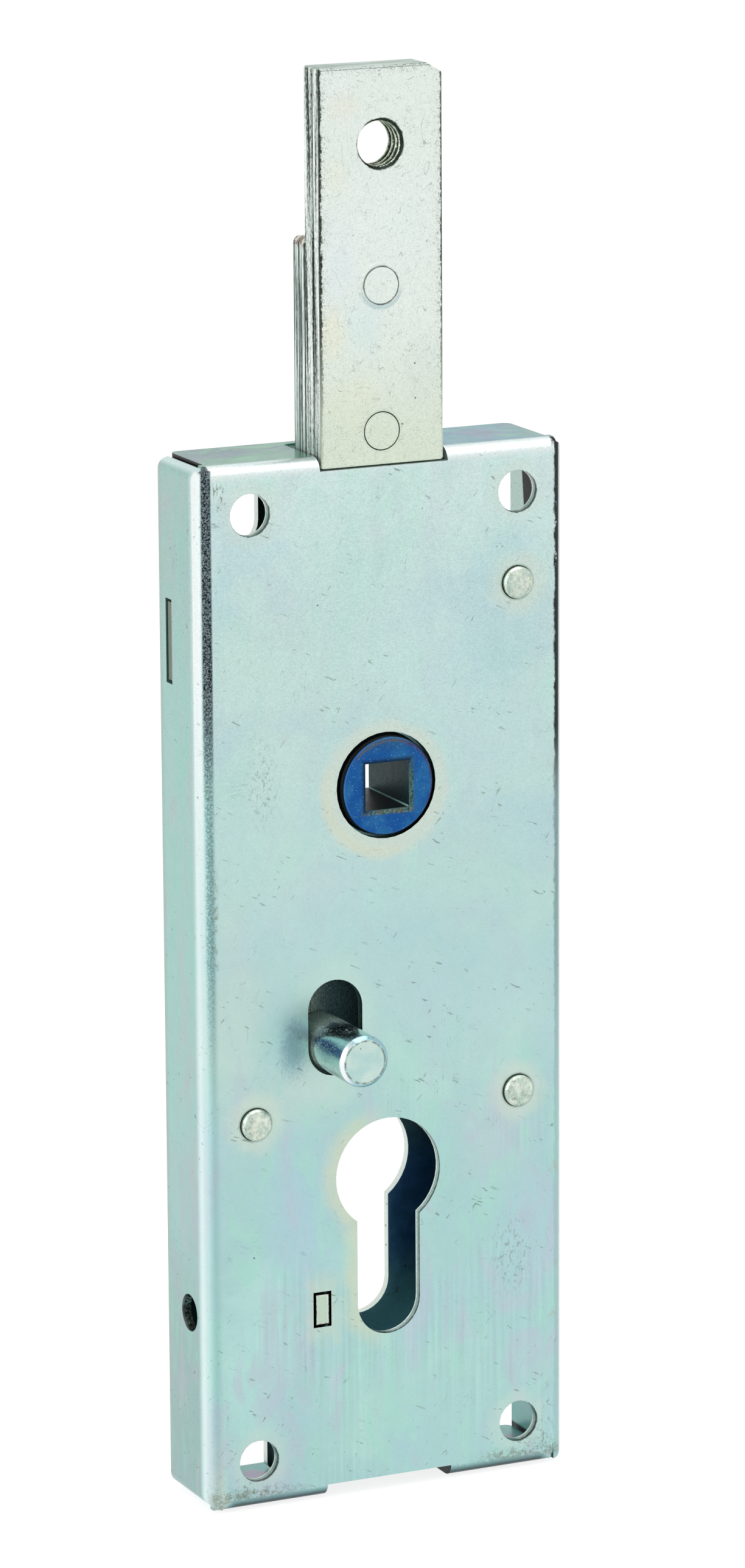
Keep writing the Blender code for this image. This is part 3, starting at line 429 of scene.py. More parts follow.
    # Painted dark reflection on the upper part of the left bend, navy with lighter strokes, fading out
    # downwards
    dark_reflection_mask = look.times(bend, look.up(106, 130))
    dark_reflection_tint = look.mix(look.times(strokes, 0.42), (8, 16, 26), (176, 198, 202))
    # Painted teal reflection on the left bend, from about halfway up
    middle = look.times(look.band(look.x, -29.45, -28.35, 0.3), front, look.up(60, 92))
    teal_reflection = look.mix(strokes, (66, 100, 100), (150, 190, 184))
    look.paint(teal_reflection, middle, 0.8)
    dirty = look.times(
        look.band(look.x, -28.5, -27.9, 0.4), front, look.band(look.z, 84, 100, 5), look.marks(0.8, 0.55, 23)
    )
    look.paint((132, 130, 112), dirty, 0.8)
    look.paint(dark_reflection_tint, dark_reflection_mask)
    # Painted shade low on the left bend, a soft teal-grey band
    bend_low_shade = look.times(look.band(look.x, -29.15, -28.35, 0.75), front, look.up(128, 92))
    look.paint((112, 154, 158), bend_low_shade, look.spread(speckle, 0.10, 0.42))
    # Painted highlight along the outer side of the left bend, whitest high up
    bend_bright = look.add(
        look.times(look.band(look.depth, 1.05, 3.2, 0.35), look.up(80, 124)),
        look.times(look.band(look.depth, 1.3, 3.1, 1.2), look.up(124, 80)),
    )
    bend_bright = look.times(bend_bright, look.right(-29.2, -29.6))
    shine = look.mix(look.up(90, 140), (224, 240, 240), (241, 247, 247))
    look.paint(shine, bend_bright, 0.92)

    # The top flange shows the rainbow tints of thick passivation, painted darker than the front as painted
    # shade
    flat_up = look.times(look.up(CASE_HEIGHT - 0.6, CASE_HEIGHT - 0.1), look.deep(1.6, 2.6))
    film = look.noise(0.22, 3, stretch=(0.6, 1, 1), seed=11, bend=0.7)
    left_tint = look.mix(look.deep(4, 12), (66, 142, 118), (44, 108, 110))
    pink = look.halo(look.away(20.4, CASE_HEIGHT), 0.6, 4.0, look.spread(film, 4.0, 0.0))
    rainbow = look.layers(
        left_tint, (look.right(2, 12), (14, 130, 150)),
        (look.times(look.ease(film, 0.54, 0.66), 0.5), (96, 92, 144)),
        (look.times(look.ease(film, 0.46, 0.34), 0.6), (74, 168, 116)),
        (look.times(look.right(23, 27), 0.35), (70, 126, 100)),
        (look.times(pink, look.band(look.depth, 6, 12, 2), 0.6), (92, 92, 138)),
    )
    look.paint(rainbow, flat_up, 0.95)
    # The left flange: pearly mottling and a band along the rear edge, all painted darker than the front as
    # painted shade
    flank = look.times(look.outward(29.3, 29.9), look.deep(3.0, 4.6))
    sheen = look.noise(0.30, 4, 0.6, stretch=(1, 1, 0.22), seed=35, bend=0.6)
    rear_edge = look.times(
        look.deep(14.0, 15.0), look.spread(look.noise(0.6, 4, stretch=(1, 1, 0.3), seed=58), 0.8, 0.6)
    )
    flank_tint = look.layers(
        (144, 176, 172), (look.up(22, 50), (156, 196, 190)), (look.up(120, 155), (154, 188, 182)),
        (look.times(look.ease(sheen, 0.50, 0.62), 0.5), (140, 200, 182)),
        (look.times(look.ease(sheen, 0.46, 0.36), 0.5), (176, 182, 184)), (rear_edge, (160, 176, 164)),
    )
    look.paint(flank_tint, flank, 0.85)
    look.paint((168, 176, 184), flank, look.clumps(0.50, 0.64, 0.07, 3, seed=21), look.up(70, 30), 0.5)

    # Inside, the plating is blue-green, darker low down and purplish at the foot, and a black painted shadow
    # lies on the right flange's inner face, high up
    inside = look.times(
        look.outward(29.0, 28.6), look.deep(1.3, 1.6),
        look.ease(look.off(look.z, CASE_HEIGHT / 2), 79.9, 79.5),
    )
    within = look.mix(look.up(60, 130), (116, 164, 160), (168, 192, 184))
    hue = look.mix(look.ease(film, 0.44, 0.56), within, (150, 146, 164))
    within = look.mix(look.up(40, 10), within, hue)
    look.paint(within, inside, 0.9)
    # Painted shadow, black, on the right flange's inner face, high up and towards the front
    lean = look.add(look.depth, look.times(look.minus(look.z, 151.5), -0.12))
    look.paint((10, 12, 12), inside, look.right(27.8, 28.4), look.ease(lean, 11.3, 11.0), look.up(100, 130))

    # The cut edges of the holes: dark and torn at the front, with a painted highlight along the rear rim
    flat_front = look.abs(look.facing[1])
    wall = look.times(
        look.ease(flat_front, 0.75, 0.45), look.band(look.depth, 0.10, 1.47, 0.04),
        look.outward(28.0, 27.6), look.band(look.z, 1.0, 158.8, 0.2),
    )
    bolt_way = look.times(look.outward(10.9, 10.6), look.up(150, 152))
    wall = look.times(wall, look.rest(bolt_way))
    torn = look.fray(look.depth, look.noise(1.5, 4, 0.7, seed=37), 0.9)
    wall_tint = look.mix(look.ease(torn, 0.28, 0.60), (44, 54, 52), (146, 176, 168))
    # Painted highlight along the rear rim of the hole walls
    wall_tint = look.mix(look.ease(torn, 1.10, 1.30), wall_tint, (222, 231, 224))
    look.paint(wall_tint, wall)
    # Painted shadow in the gap round the hub: black on the hole's wall
    look.paint((6, 8, 9), look.ease(look.away(0, HUB_Z), 9.2, 9.0), look.deep(0.03, 0.12))
    # Painted shadow in the gap round the bracket's tenon: black on the slot's wall
    tenon_gap_shade = look.times(
        look.deep(0.02, 0.12), look.ease(look.off(look.x, BRACKET[0]), 1.62, 1.54),
        look.ease(look.off(look.z, BRACKET[1]), 2.92, 2.84),
    )
    look.paint((8, 10, 10), tenon_gap_shade)
    look.paint((16, 28, 32), look.ease(look.facing[0], -0.5, -0.7), look.up(2.3, 1.9), look.right(8, 9))
    # Painted shade in the slits at the top corners
    slit_shade = look.times(
        look.ease(look.abs(look.facing[0]), 0.6, 0.8), look.up(158.6, 159.4),
        look.band(look.across, 26.5, 28.7, 0.1), look.deep(2.0, 2.4),
    )
    look.paint((14, 16, 16), slit_shade)
    side_hole = look.times(
        look.ease(look.abs(look.facing[0]), 0.8, 0.5), look.right(-28.3, -28.6),
        look.band(look.z, 27.0, 33.3, 0.1), look.band(look.depth, 4.3, 10.6, 0.1),
    )
    chipped = look.mix(look.clumps(0.44, 0.56, 2.2, 5, 0.8, seed=63), (60, 76, 70), (196, 212, 202))
    chipped = look.mix(look.right(-29.55, -29.75), chipped, (240, 246, 244))
    look.paint(chipped, side_hole)

    # A painted dark blue reflection of the pin on the sheet left of its slot
    pin_reflection = look.halo(look.away(-15.6, 71.6, 0.55), 0.6, 3.6, look.spread(speckle, 1.2, 0.0))
    look.paint((74, 118, 140), pin_reflection, look.deep(0.3, 0.1), 0.55)

    # Specks, pits and fine scratches everywhere
    clusters = look.clumps(0.42, 0.62, 0.12, 3, seed=26)
    dark_marks = look.marks(1.5, 0.705, 27)
    look.paint((92, 104, 100), dark_marks, look.spread(clusters, 0.5, 0.6))
    look.paint((128, 130, 116), look.marks(1.2, 0.695, 28, (0.8, 1, 1.5)), 0.55)
    look.paint((238, 244, 243), look.marks(1.4, 0.715, 29, (0.7, 1, 1.6)), 0.8)
    look.paint((66, 74, 72), look.specks(0.35, 0.07, 0.05, 1), 0.8)
    grime = look.times(
        look.band(look.x, -27.5, -26.5, 0.8), look.up(66, 40), look.marks(0.9, 0.60, 34, (1.4, 1, 0.6))
    )
    look.paint((140, 134, 116), grime, 0.6)
    for turn, seed in (((1.7, 1, 0.45), 12), ((0.6, 1, 1.5), 22)):
        line = look.band(look.noise(0.11, 3, 0.6, stretch=turn, seed=seed, bend=0.7), 0.4985, 0.5015, 0.0015)
        look.paint((112, 126, 124), line, look.clumps(0.60, 0.64, 0.13, 3, seed=seed + 1), 0.35)
    for lean, seed in ((40, 31), (115, 33)):
        slanted = look.node(
            "ShaderNodeMapping", Vector=look.place, Rotation=(0.0, math.radians(lean), 0.0),
            Scale=(0.45, 1.0, 2.2), Location=(seed, seed, 0.0),
        )
        slanted.vector_type = "TEXTURE"
        nicks = look.node("ShaderNodeTexNoise", Vector=slanted, Scale=0.75, Detail=3, Roughness=0.6)
        nicks = look.times(look.ease(nicks, 0.67, 0.70), look.spread(clusters, 0.5, 0.35))
        look.paint((108, 118, 106), nicks)
    grain = look.noise(4.4, 3, 0.6, stretch=(0.8, 1, 1.2), seed=14)
    strength = look.ramp(look.up(70, 150), 0.40, 0.16)
    look.vary(look.spread(grain, strength))
    look.vary(look.spread(look.noise(0.35, 4, seed=3), 0.05))

    rough = look.spread(look.noise(0.5, 3, seed=15), 0.16, 0.34)
    rough = look.minus(rough, look.times(flat_up, 0.12))
    look.relief(look.times(grain, look.spread(look.up(70, 150), 0.6, 0.7)), 0.022)
    look.relief(look.noise(0.6, 2, seed=16), 0.012)
    look.relief(look.times(speckle, bend, high_up), 0.03)
    # Less metallic where the dark reflection is painted on the right bend, so that it stays dark
    metal = look.rest(look.times(right_reflection, high_up, 0.9))
    return look.done(rough, Metallic=metal, Specular_IOR_Level=0.2)


def zinc_inner():
    """The plating of pieces inside the case: the same tint, duller and darker, with painted shade on the back
    plate's front.
    """
    look = Look("zinc_inner")
    patch = look.noise(0.09, 4, seed=20)
    look.ground(patch, 0.35, 0.65, (150, 190, 190), (166, 200, 194))
    # Painted shade on the back plate's front: bluer and lighter low down, darkest towards the sides, with a
    # strong blue patch right of the middle
    within = look.deep(12.7, 12.2)
    back_shade = look.mix(look.up(48, 30), (108, 152, 154), (142, 214, 226))
    back_shade = look.mix(look.outward(13, 15), back_shade, (48, 66, 70))
    look.paint(back_shade, within, 0.9)
    look.paint((66, 128, 200), look.band(look.z, 31, 52, 5), look.band(look.x, 4, 15, 3), within, 0.8)
    look.paint((214, 224, 216), look.ease(look.abs(look.facing[1]), 0.8, 0.5), look.outward(28.6, 28.2))
    look.paint((118, 128, 116), look.outward(28.6, 28.9))
    grain = look.noise(1.8, 3, seed=21)
    look.vary(look.spread(grain, 0.22))
    look.paint((52, 58, 56), look.specks(0.7, 0.2, 0.2, 20), 0.7)
    rough = look.spread(look.noise(0.5, 3, seed=22), 0.2, 0.42)
    look.relief(grain, 0.012)
    return look.done(rough)


def zinc_tenon():
    """Peened ends: whitish, hammered, with small dents and grime, and a black painted shadow in the gap round
    the bracket's tenon.
    """
    look = Look("zinc_tenon")
    patch = look.noise(0.5, 4, seed=30)
    look.ground(patch, 0.36, 0.62, (186, 204, 192), (212, 222, 208))
    dents = look.noise(1.7, 4, 0.7, seed=31)
    look.vary(look.spread(dents, 1.2))
    look.paint((122, 134, 118), look.marks(1.1, 0.56, 32), 0.6)
    look.paint((236, 242, 232), look.marks(1.0, 0.58, 39), 0.6)
    box = look.most(
        look.times(look.off(look.x, BRACKET[0]), 1 / 1.2),
        look.add(look.times(look.off(look.z, BRACKET[1]), 0.83), -1.075),
    )
    box = look.fray(box, look.noise(0.9, 4, 0.7, seed=34), 0.22)
    look.paint((191, 211, 192), look.ease(box, 0.78, 0.60))
    look.paint((196, 168, 120), look.ease(box, 0.8, 0.7), look.clumps(0.58, 0.66, 0.8, 4, seed=33), 0.6)
    # Painted shadow, black, in the gap round the bracket's tenon
    look.paint((8, 10, 10), look.band(box, 0.84, 1.6, 0.05))
    rough = look.spread(look.noise(1.0, 3, seed=32), 0.25, 0.42)
    look.relief(dents, 0.05)
    return look.done(rough)


def zinc_strip():
    """The bolt strips: whiter plating with a grainy face and sheared edges."""
    look = Look("zinc_strip")
    cloud = look.noise(0.05, 3, seed=40)
    patch = look.noise(0.12, 4, seed=41, bend=0.5)
    look.ground(cloud, 0.38, 0.64, (227, 236, 229), (231, 238, 234))
    look.tints(
        patch, 1.6,
        (-6.5, 213, 3.5, 3, 0.35, (231, 225, 204)), (-7.5, 203, 3, 4, 0.3, (233, 232, 212)),
        (-2.5, 181, 5, 6, 0.45, (210, 230, 232)), (-7, 190, 4, 9, 0.4, (218, 230, 236)),
        (-8, 180, 3, 5, 0.4, (233, 231, 202)), (-5, 169, 5, 5, 0.4, (232, 230, 200)),
        (7, 172, 4, 8, 0.5, (216, 228, 226)), (4, 160, 9, 4, 0.5, (216, 226, 208)),
        (3, 196, 7, 8, 0.4, (226, 238, 234)), (0, 164.7, 3.2, 3.2, 0.4, (216, 226, 212)),
    )
    lower, upper = BOLT_RIVETS
    look.paint((160, 172, 160), look.band(look.away(*lower), 2.6, 3.3, 0.2), 0.35)
    ring = look.band(look.away(*upper), 2.72, 3.0, 0.09)
    broken = look.clumps(0.40, 0.56, 0.5, 3, seed=48)
    look.paint((96, 108, 104), ring, look.spread(broken, 0.6, 0.5))
    # Painted bluish shadow below the upper rivet
    look.paint((168, 192, 196), look.band(look.away(*upper), 3.0, 3.6, 0.25), look.up(187, 184), 0.6)
    mouth = look.fray(look.away(*THREAD), look.noise(1.6, 5, 0.8, seed=24), 0.45)
    chipped = look.clumps(0.40, 0.56, 0.7, 3, seed=58)
    look.paint((78, 92, 84), look.halo(mouth, 3.86, 3.98), chipped, 0.9)

    side = look.outward(9.86, 9.96)
    sheared = look.noise(1.1, 2, 0.5, stretch=(0.2, 1, 0.035), seed=42, bend=0.25)
    torn = look.noise(2.6, 6, 0.85, stretch=(0.3, 1, 0.45), seed=49)
    lines = look.add(look.times(sheared, 0.55), look.times(torn, 0.45))
    streaks = look.mix(look.ease(lines, 0.445, 0.475), (26, 34, 30), (184, 200, 190))
    streaks = look.mix(look.ease(lines, 0.505, 0.54), streaks, (246, 250, 246))
    look.paint(streaks, side)
    upper_end = look.up(218.9, 219.05)
    across = look.clumps(0.42, 0.56, 1.6, 4, 0.7, stretch=(0.05, 1, 1), seed=38)
    look.paint(look.mix(across, (132, 150, 142), (190, 206, 198)), upper_end, 0.9)

    # Grime gathers along the edges: a black line at the left, and a grey speckled margin all round
    jagged = look.noise(1.9, 6, 0.85, stretch=(1, 1, 0.6), seed=39)
    face = look.deep(1.1, 0.9)
    look.paint((16, 24, 22), face, look.ease(look.fray(look.x, jagged, 1.9), -9.60, -9.72), 0.96)
    look.paint((36, 46, 42), face, look.ease(look.fray(look.x, jagged, 1.2), 9.70, 9.80), 0.9)
    look.paint((84, 98, 92), face, look.band(look.fray(look.z, jagged, 0.9), 218.68, 218.78, 0.05), 0.8)
    inset = look.least(look.minus(10.0, look.across), look.minus(219.1, look.z))
    margin = look.times(look.ease(inset, 2.4, 0.1), look.deep(1.4, 1.0))
    fleck = look.ease(look.add(look.noise(3.4, 5, 0.85, seed=24), look.times(margin, 0.07)), 0.60, 0.66)
    look.paint((104, 118, 106), fleck, look.spread(margin, 0.4, 0.62))
    look.paint((213, 223, 204), look.up(184, 160), look.deep(1.4, 1.0), 0.8)
    look.paint((132, 146, 134), look.specks(2.2, 0.20, 0.5, 4), 0.6)
    crescents = look.times(
        look.band(look.noise(0.9, 3, 0.6, stretch=(1, 1, 0.7), seed=50), 0.53, 0.545, 0.008),
        look.clumps(0.56, 0.60, 0.7, 3, seed=51),
    )
    look.paint((138, 152, 142), crescents, 0.6)
    look.paint((70, 78, 70), look.specks(0.5, 0.10, 0.12, 5), 0.8)
    for turn, seed in (((1.6, 1, 0.35), 44), ((0.5, 1, 1.4), 52), ((1.1, 1, 0.8), 54)):
        line = look.band(look.noise(0.16, 2, stretch=turn, seed=seed, bend=0.4), 0.498, 0.502, 0.0015)
        look.paint((146, 158, 150), line, look.clumps(0.54, 0.58, 0.3, 3, seed=seed + 1), 0.6)
    grain = look.noise(5.0, 4, 0.7, seed=46)
    look.vary(look.spread(grain, 0.6))
    rough = look.spread(look.noise(0.8, 3, seed=47), 0.2, 0.42)
    look.relief(grain, 0.03)
    look.relief(look.times(side, lines), 0.12)
    return look.done(rough)


def carriage_steel():
    """The stamped carriage plates: whiter above the case; inside it, painted shade, light at the left and
    dark at the right, with a dark leathery grain.
    """
    look = Look("carriage_steel")
    patch = look.noise(0.11, 4, seed=50, bend=0.5)
    look.ground(patch, 0.38, 0.62, (214, 224, 214), (224, 231, 226))
    side = look.outward(9.86, 9.96)
    sheared = look.noise(1.25, 3, 0.6, stretch=(0.2, 1, 0.03), seed=51)
    torn = look.noise(2.4, 5, 0.8, stretch=(0.3, 1, 0.25), seed=55)
    lines = look.add(look.times(sheared, 0.75), look.times(torn, 0.25))
    streaks = look.mix(look.ease(lines, 0.40, 0.49), (70, 86, 80), (184, 202, 194))
    streaks = look.mix(look.ease(lines, 0.51, 0.58), streaks, (246, 250, 248))
    look.paint(streaks, side)
    rust = look.times(look.halo(look.away(-9.4, 192.9), 0.5, 1.5), look.clumps(0.42, 0.56, 1.4, 4, seed=52))
    look.paint((126, 70, 40), rust, 0.85)
    within = look.up(160.5, 158.5)
    # Painted shade inside the case: light at the left, dark at the right
    slot_shade = look.mix(look.right(-12.5, -6), (166, 182, 172), (84, 112, 118))
    look.paint(slot_shade, within)
    leather = look.noise(4.6, 3, 0.6, seed=56)
    look.paint((52, 66, 62), look.ease(leather, 0.44, 0.60), within, 0.5)
    grain = look.noise(2.4, 4, 0.7, seed=53)
    look.vary(look.spread(grain, 0.24))
    rough = look.spread(look.noise(0.8, 3, seed=54), 0.2, 0.42)
    look.relief(grain, 0.04)
    look.relief(look.times(leather, within), -0.16)
    look.relief(look.times(side, lines), 0.12)
    return look.done(rough)


def bright_pin():
    """The turned pin: bright, with turning marks, painted reflections in light and dark bands round its side,
    a painted highlight on the left of its chamfer, and a pale end.
    """
    look = Look("bright_pin")
    out = look.times(look.depth, -1.0)
    ring = look.away(*PIN)
    end = look.ease(out, 10.45, 10.58)
    turned = look.noise(1.4, 2, 0.5, stretch=(0.05, 3.0, 0.05), seed=60)
    rings = look.node(
        "ShaderNodeTexWave", Vector=look.node("ShaderNodeCombineXYZ", X=ring), Scale=0.62, Distortion=0.6
    )
    film = look.noise(0.25, 3, seed=61)
    round_about = look.add(
        look.times(look.minus(look.x, PIN[0]), 0.5), look.times(look.minus(look.z, PIN[1]), 0.866),
        look.spread(look.noise(0.5, 4, stretch=(1, 0.3, 1), seed=62), 1.6, 0.0),
    )
    pits = look.noise(3.2, 5, 0.85, seed=63)
    hairs = look.band(look.noise(0.7, 3, 0.6, stretch=(1, 0.4, 1), seed=67), 0.535, 0.550, 0.008)
    hairs = look.times(hairs, look.clumps(0.48, 0.56, 0.5, 3, seed=68))
    marked = look.most(look.ease(pits, 0.56, 0.62), hairs)
    # Painted reflections: light and dark bands across the pin's side, set by the direction round it, and a
    # paler root as painted light
    side_colour = look.layers(
        (96, 124, 136), (look.ease(round_about, 3.0, 3.6), (186, 220, 214)),
        (look.ease(round_about, 1.9, 1.2), (176, 216, 218)),
        (look.ease(round_about, 0.9, -0.2), (50, 84, 122)),
        (look.ease(round_about, -0.7, -2.1), (196, 224, 212)),
        (look.ease(round_about, -3.2, -3.9), (90, 118, 118)),
        (look.times(look.ease(out, 2.0, -1.0), 0.7), (178, 206, 190)),
        (look.times(marked, 0.8), (206, 224, 230)),
    )
    side_colour = look.shade(side_colour, look.spread(turned, 0.20))
    end_colour = look.mix(look.ease(film, 0.36, 0.62), (178, 210, 206), (198, 220, 212))
    end_colour = look.shade(end_colour, look.spread(rings.outputs["Fac"], 0.03))
    look.colour = look.mix(end, side_colour, end_colour)
    # Painted highlight on the chamfer, white at the left
    chamfer = look.band(out, 10.06, 10.5, 0.05)
    to_left = look.ease(look.minus(look.x, PIN[0]), -1.2, -3.4)
    look.paint(look.mix(to_left, (150, 190, 200), (236, 238, 242)), chamfer)
    wear_and_shade = look.times(look.band(ring, 3.14, 3.4, 0.12), end, look.clumps(0.40, 0.54, 1.2, 4, 0.7, seed=64))
    look.paint((88, 100, 94), wear_and_shade, 0.8)
    look.paint((96, 108, 108), look.specks(1.3, 0.22, 0.25, 7), 0.7)
    rough = look.ramp(end, 0.38 - 0.17, 0.17)
    look.relief(turned, 0.010)
    look.relief(look.times(rings.outputs["Fac"], end), 0.008)
    metal = look.ramp(look.ease(out, 3.5, -1.0), -0.5, 1.0)
    on_side = look.times(marked, look.ease(out, 10.3, 10.0), -0.6)
    metal = look.most(look.add(metal, on_side), 0.0)
    return look.done(rough, Metallic=metal)


def bright_inner():
    """Rivets, collars and the spring's guide inside the case."""
    look = Look("bright_inner")
    patch = look.noise(0.4, 3, seed=65)
    look.ground(patch, 0.4, 0.6, (146, 156, 158), (176, 184, 184))
    turned = look.noise(2.5, 3, stretch=(0.3, 2, 0.3), seed=66)
    look.vary(look.spread(turned, 0.25))
    rough = look.spread(patch, 0.2, 0.32)
    look.relief(turned, 0.01)
    return look.done(rough)


def blued_hub():
    """Heat-blued steel: a strong blue that turns purple-brown at the rim and straw at the square hole, with a
    painted highlight and painted shade round the rim and painted shade in the square hole and the gap.
    """
    look = Look("blued_hub")
    ring = look.away(0, HUB_Z)
    wobble = look.spread(look.noise(0.5, 3, seed=70), 0.9, 0.0)
    patch = look.noise(0.3, 4, seed=71)
    inner = look.away(0.35, HUB_Z - 0.15)
    look.ground(patch, 0.36, 0.64, (30, 84, 150), (44, 104, 158))
    high = look.ease(look.add(look.z, wobble), HUB_Z + 4.4, HUB_Z + 7.2)
    look.paint((52, 92, 122), high, 0.6)
    rim = look.band(look.add(inner, look.times(wobble, 0.25)), 6.85, 7.35, 0.07)
    upper_right = look.ease(look.add(look.x, look.times(look.minus(look.z, HUB_Z), 1.4)), -1, 3)
    rim_tint = look.mix(look.right(1, 5), (96, 92, 90), (76, 58, 96))
    rim = look.times(rim, upper_right, look.spread(look.clumps(0.44, 0.56, 2.6, 5, 0.8, seed=59), 0.7, 0.6))
    look.paint(rim_tint, rim)
    square = look.most(look.across, look.off(look.z, HUB_Z))
    face = look.deep(0.1, -0.2)
    corner = look.ease(look.add(look.x, look.minus(HUB_Z, look.z)), -1.5, 3.0)
    straw = look.times(
        look.halo(square, 3.8, 4.8, look.times(wobble, 0.8)), face, look.spread(corner, 0.8, 0.5)
    )
    look.paint((76, 96, 84), straw)
    straw_edge = look.times(
        look.band(look.add(square, look.times(wobble, 0.4)), 3.75, 4.35, 0.12), face, corner
    )
    mottled = look.noise(2.6, 4, 0.7, seed=75)
    below = look.up(HUB_Z - 3.4, HUB_Z - 3.8)
    straw_tint = look.mix(look.ease(mottled, 0.44, 0.54), (34, 66, 80), (84, 118, 104))
    straw_tint = look.mix(look.times(look.ease(mottled, 0.50, 0.58), below), straw_tint, (128, 142, 128))
    rusty = look.times(look.clumps(0.50, 0.60, 0.8, 3, seed=76), below, 0.35)
    straw_tint = look.mix(rusty, straw_tint, (124, 98, 66))
    look.paint(straw_tint, straw_edge, 0.85)
    look.paint((14, 26, 40), look.halo(square, 3.62, 4.5), face, look.ease(corner, 0.8, 0.1), 0.85)
    # Painted highlight on the upper left of the rim
    rim_highlight = look.times(
        look.band(inner, 7.42, 7.47, 0.03),
        look.ease(look.add(look.x, look.times(look.z, -1.0)), -HUB_Z, -HUB_Z - 4),
    )
    look.paint((96, 160, 224), rim_highlight, 0.7)
    # Painted shade, black, round the rim's outer edge
    rim_shade = look.most(look.ease(inner, 7.56, 7.66), look.ease(ring, 7.44, 7.52))
    look.paint((4, 6, 8), rim_shade)
    bore = look.times(look.ease(square, 3.75, 3.60), look.deep(-0.3, -0.1))
    pitted = look.noise(4.0, 4, 0.8, seed=74)
    look.paint(look.mix(look.ease(pitted, 0.44, 0.60), (8, 30, 34), (30, 84, 86)), bore)
    # Painted shade on the upward-facing wall of the square hole
    look.paint((8, 14, 20), look.ease(look.facing[2], 0.7, 0.9), bore, 0.9)
    from_corner = look.most(look.minus(3.6, look.x), look.minus(look.z, HUB_Z - 3.6))
    corner_line = look.times(look.ease(from_corner, 0.24, 0.12), bore)
    look.paint((170, 214, 208), corner_line)
    # Painted shade on the hub's side in the gap behind its face
    collar = look.deep(0.3, 0.8)
    look.paint((18, 26, 34), collar, look.ease(ring, 7.0, 7.6))
    grain = look.noise(3.4, 4, 0.75, seed=72)
    look.vary(look.spread(grain, 0.9))
    flat = look.times(look.ease(inner, 7.5, 7.4), look.ease(square, 3.6, 3.8))
    look.paint((120, 176, 208), look.specks(2.0, 0.17, 0.8, 77), flat, 0.85)
    look.paint((170, 214, 230), look.specks(0.9, 0.07, 0.7, 78), flat, 0.8)
    look.paint((12, 30, 52), look.specks(1.2, 0.12, 0.6, 79), flat, 0.8)
    rough = look.spread(look.noise(0.9, 3, seed=73), 0.22, 0.40)
    look.relief(grain, 0.02)
    metal = look.minus(look.rest(look.times(bore, 0.5)), look.add(corner_line, rim_shade))
    metal = look.most(metal, 0.0)
    return look.done(rough, Metallic=metal, Specular_IOR_Level=0.1)


def spring_wire():
    look = Look("spring_wire")
    patch = look.noise(0.8, 3, seed=80)
    look.ground(patch, 0.4, 0.6, (120, 122, 122), (164, 166, 164))
    drawn = look.noise(5.0, 2, seed=81)
    look.vary(look.spread(drawn, 0.2))
    look.relief(drawn, 0.006)
    return look.done(look.spread(patch, 0.15, 0.30))


def thread_steel():
    look = Look("thread_steel")
    patch = look.noise(0.6, 3, seed=85)
    look.ground(patch, 0.4, 0.6, (176, 192, 170), (224, 232, 214))
    wear_and_shade = look.spread(look.noise(1.8, 4, 0.8, seed=87), 0.5, 0.0)
    # Painted shade in the thread's grooves: near black towards the roots, with a ragged edge
    groove_shade = look.ease(look.add(look.away(*THREAD), wear_and_shade), 3.38, 3.46)
    look.paint((18, 26, 22), groove_shade, 0.97)
    grain = look.noise(2.6, 3, seed=86)
    look.vary(look.spread(grain, 0.2))
    look.relief(grain, 0.01)
    return look.done(0.38)


def dress(obj, material):
    obj.data.materials.clear()
    obj.data.materials.append(material)


def soften(obj, width):
    """Works the hard edges of a CAD piece a little round, so that they catch the light."""
    weld = obj.modifiers.new("weld", "WELD")
    weld.merge_threshold = 1e-6
    flat = obj.modifiers.new("flat", "DECIMATE")
    flat.decimate_type = "DISSOLVE"
    flat.angle_limit = math.radians(1)
    edge = obj.modifiers.new("edge", "BEVEL")
    edge.width = width * MM
    edge.segments = 2
    edge.limit_method = "ANGLE"
    edge.angle_limit = math.radians(35)
    even = obj.modifiers.new("even", "WEIGHTED_NORMAL")
    even.mode = "FACE_AREA"
    even.weight = 100
    even.keep_sharp = False
    own = obj.data.attributes.get("custom_normal")
    if own:
        obj.data.attributes.remove(own)
    obj.data.shade_smooth()


def added(name, data):
    """A new object in the scene."""
    obj = bpy.data.objects.new(name, data)
    scene.collection.objects.link(obj)
    return obj


def new_piece(name, bm, body, material):
    bmesh.ops.recalc_face_normals(bm, faces=bm.faces)
    mesh = bpy.data.meshes.new(name)
    bm.to_mesh(mesh)
    bm.free()
    mesh.shade_smooth()
    mesh.set_sharp_from_angle(angle=HARD_EDGE)
    mesh.materials.append(material)
    obj = added(name, mesh)
    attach(obj, body)
    return obj


def circle(bm, middle, y, radii):
    """A ring of verts round the middle (x, z), one for each of the radii, in millimetres."""
    x, z = middle
    ring = []
    for step, radius in enumerate(radii):
        angle = 2 * math.pi * step / len(radii)
        ring.append(
            bm.verts.new(Vector((x + radius * math.cos(angle), y, z + radius * math.sin(angle))) * MM)
        )
    return ring


def skin(bm, rings, closed):
    """Faces between each ring of verts and the next. A ring may be a single vert."""
    for near, far in zip(rings, rings[1:] + rings[:1] if closed else rings[1:]):
        steps = max(len(near), len(far))
        for step in range(steps):
            after = (step + 1) % steps
            if len(near) == 1:
                bm.faces.new((near[0], far[step], far[after]))
            elif len(far) == 1:
                bm.faces.new((near[step], far[0], near[after]))
            else:
                bm.faces.new((near[step], far[step], far[after], near[after]))


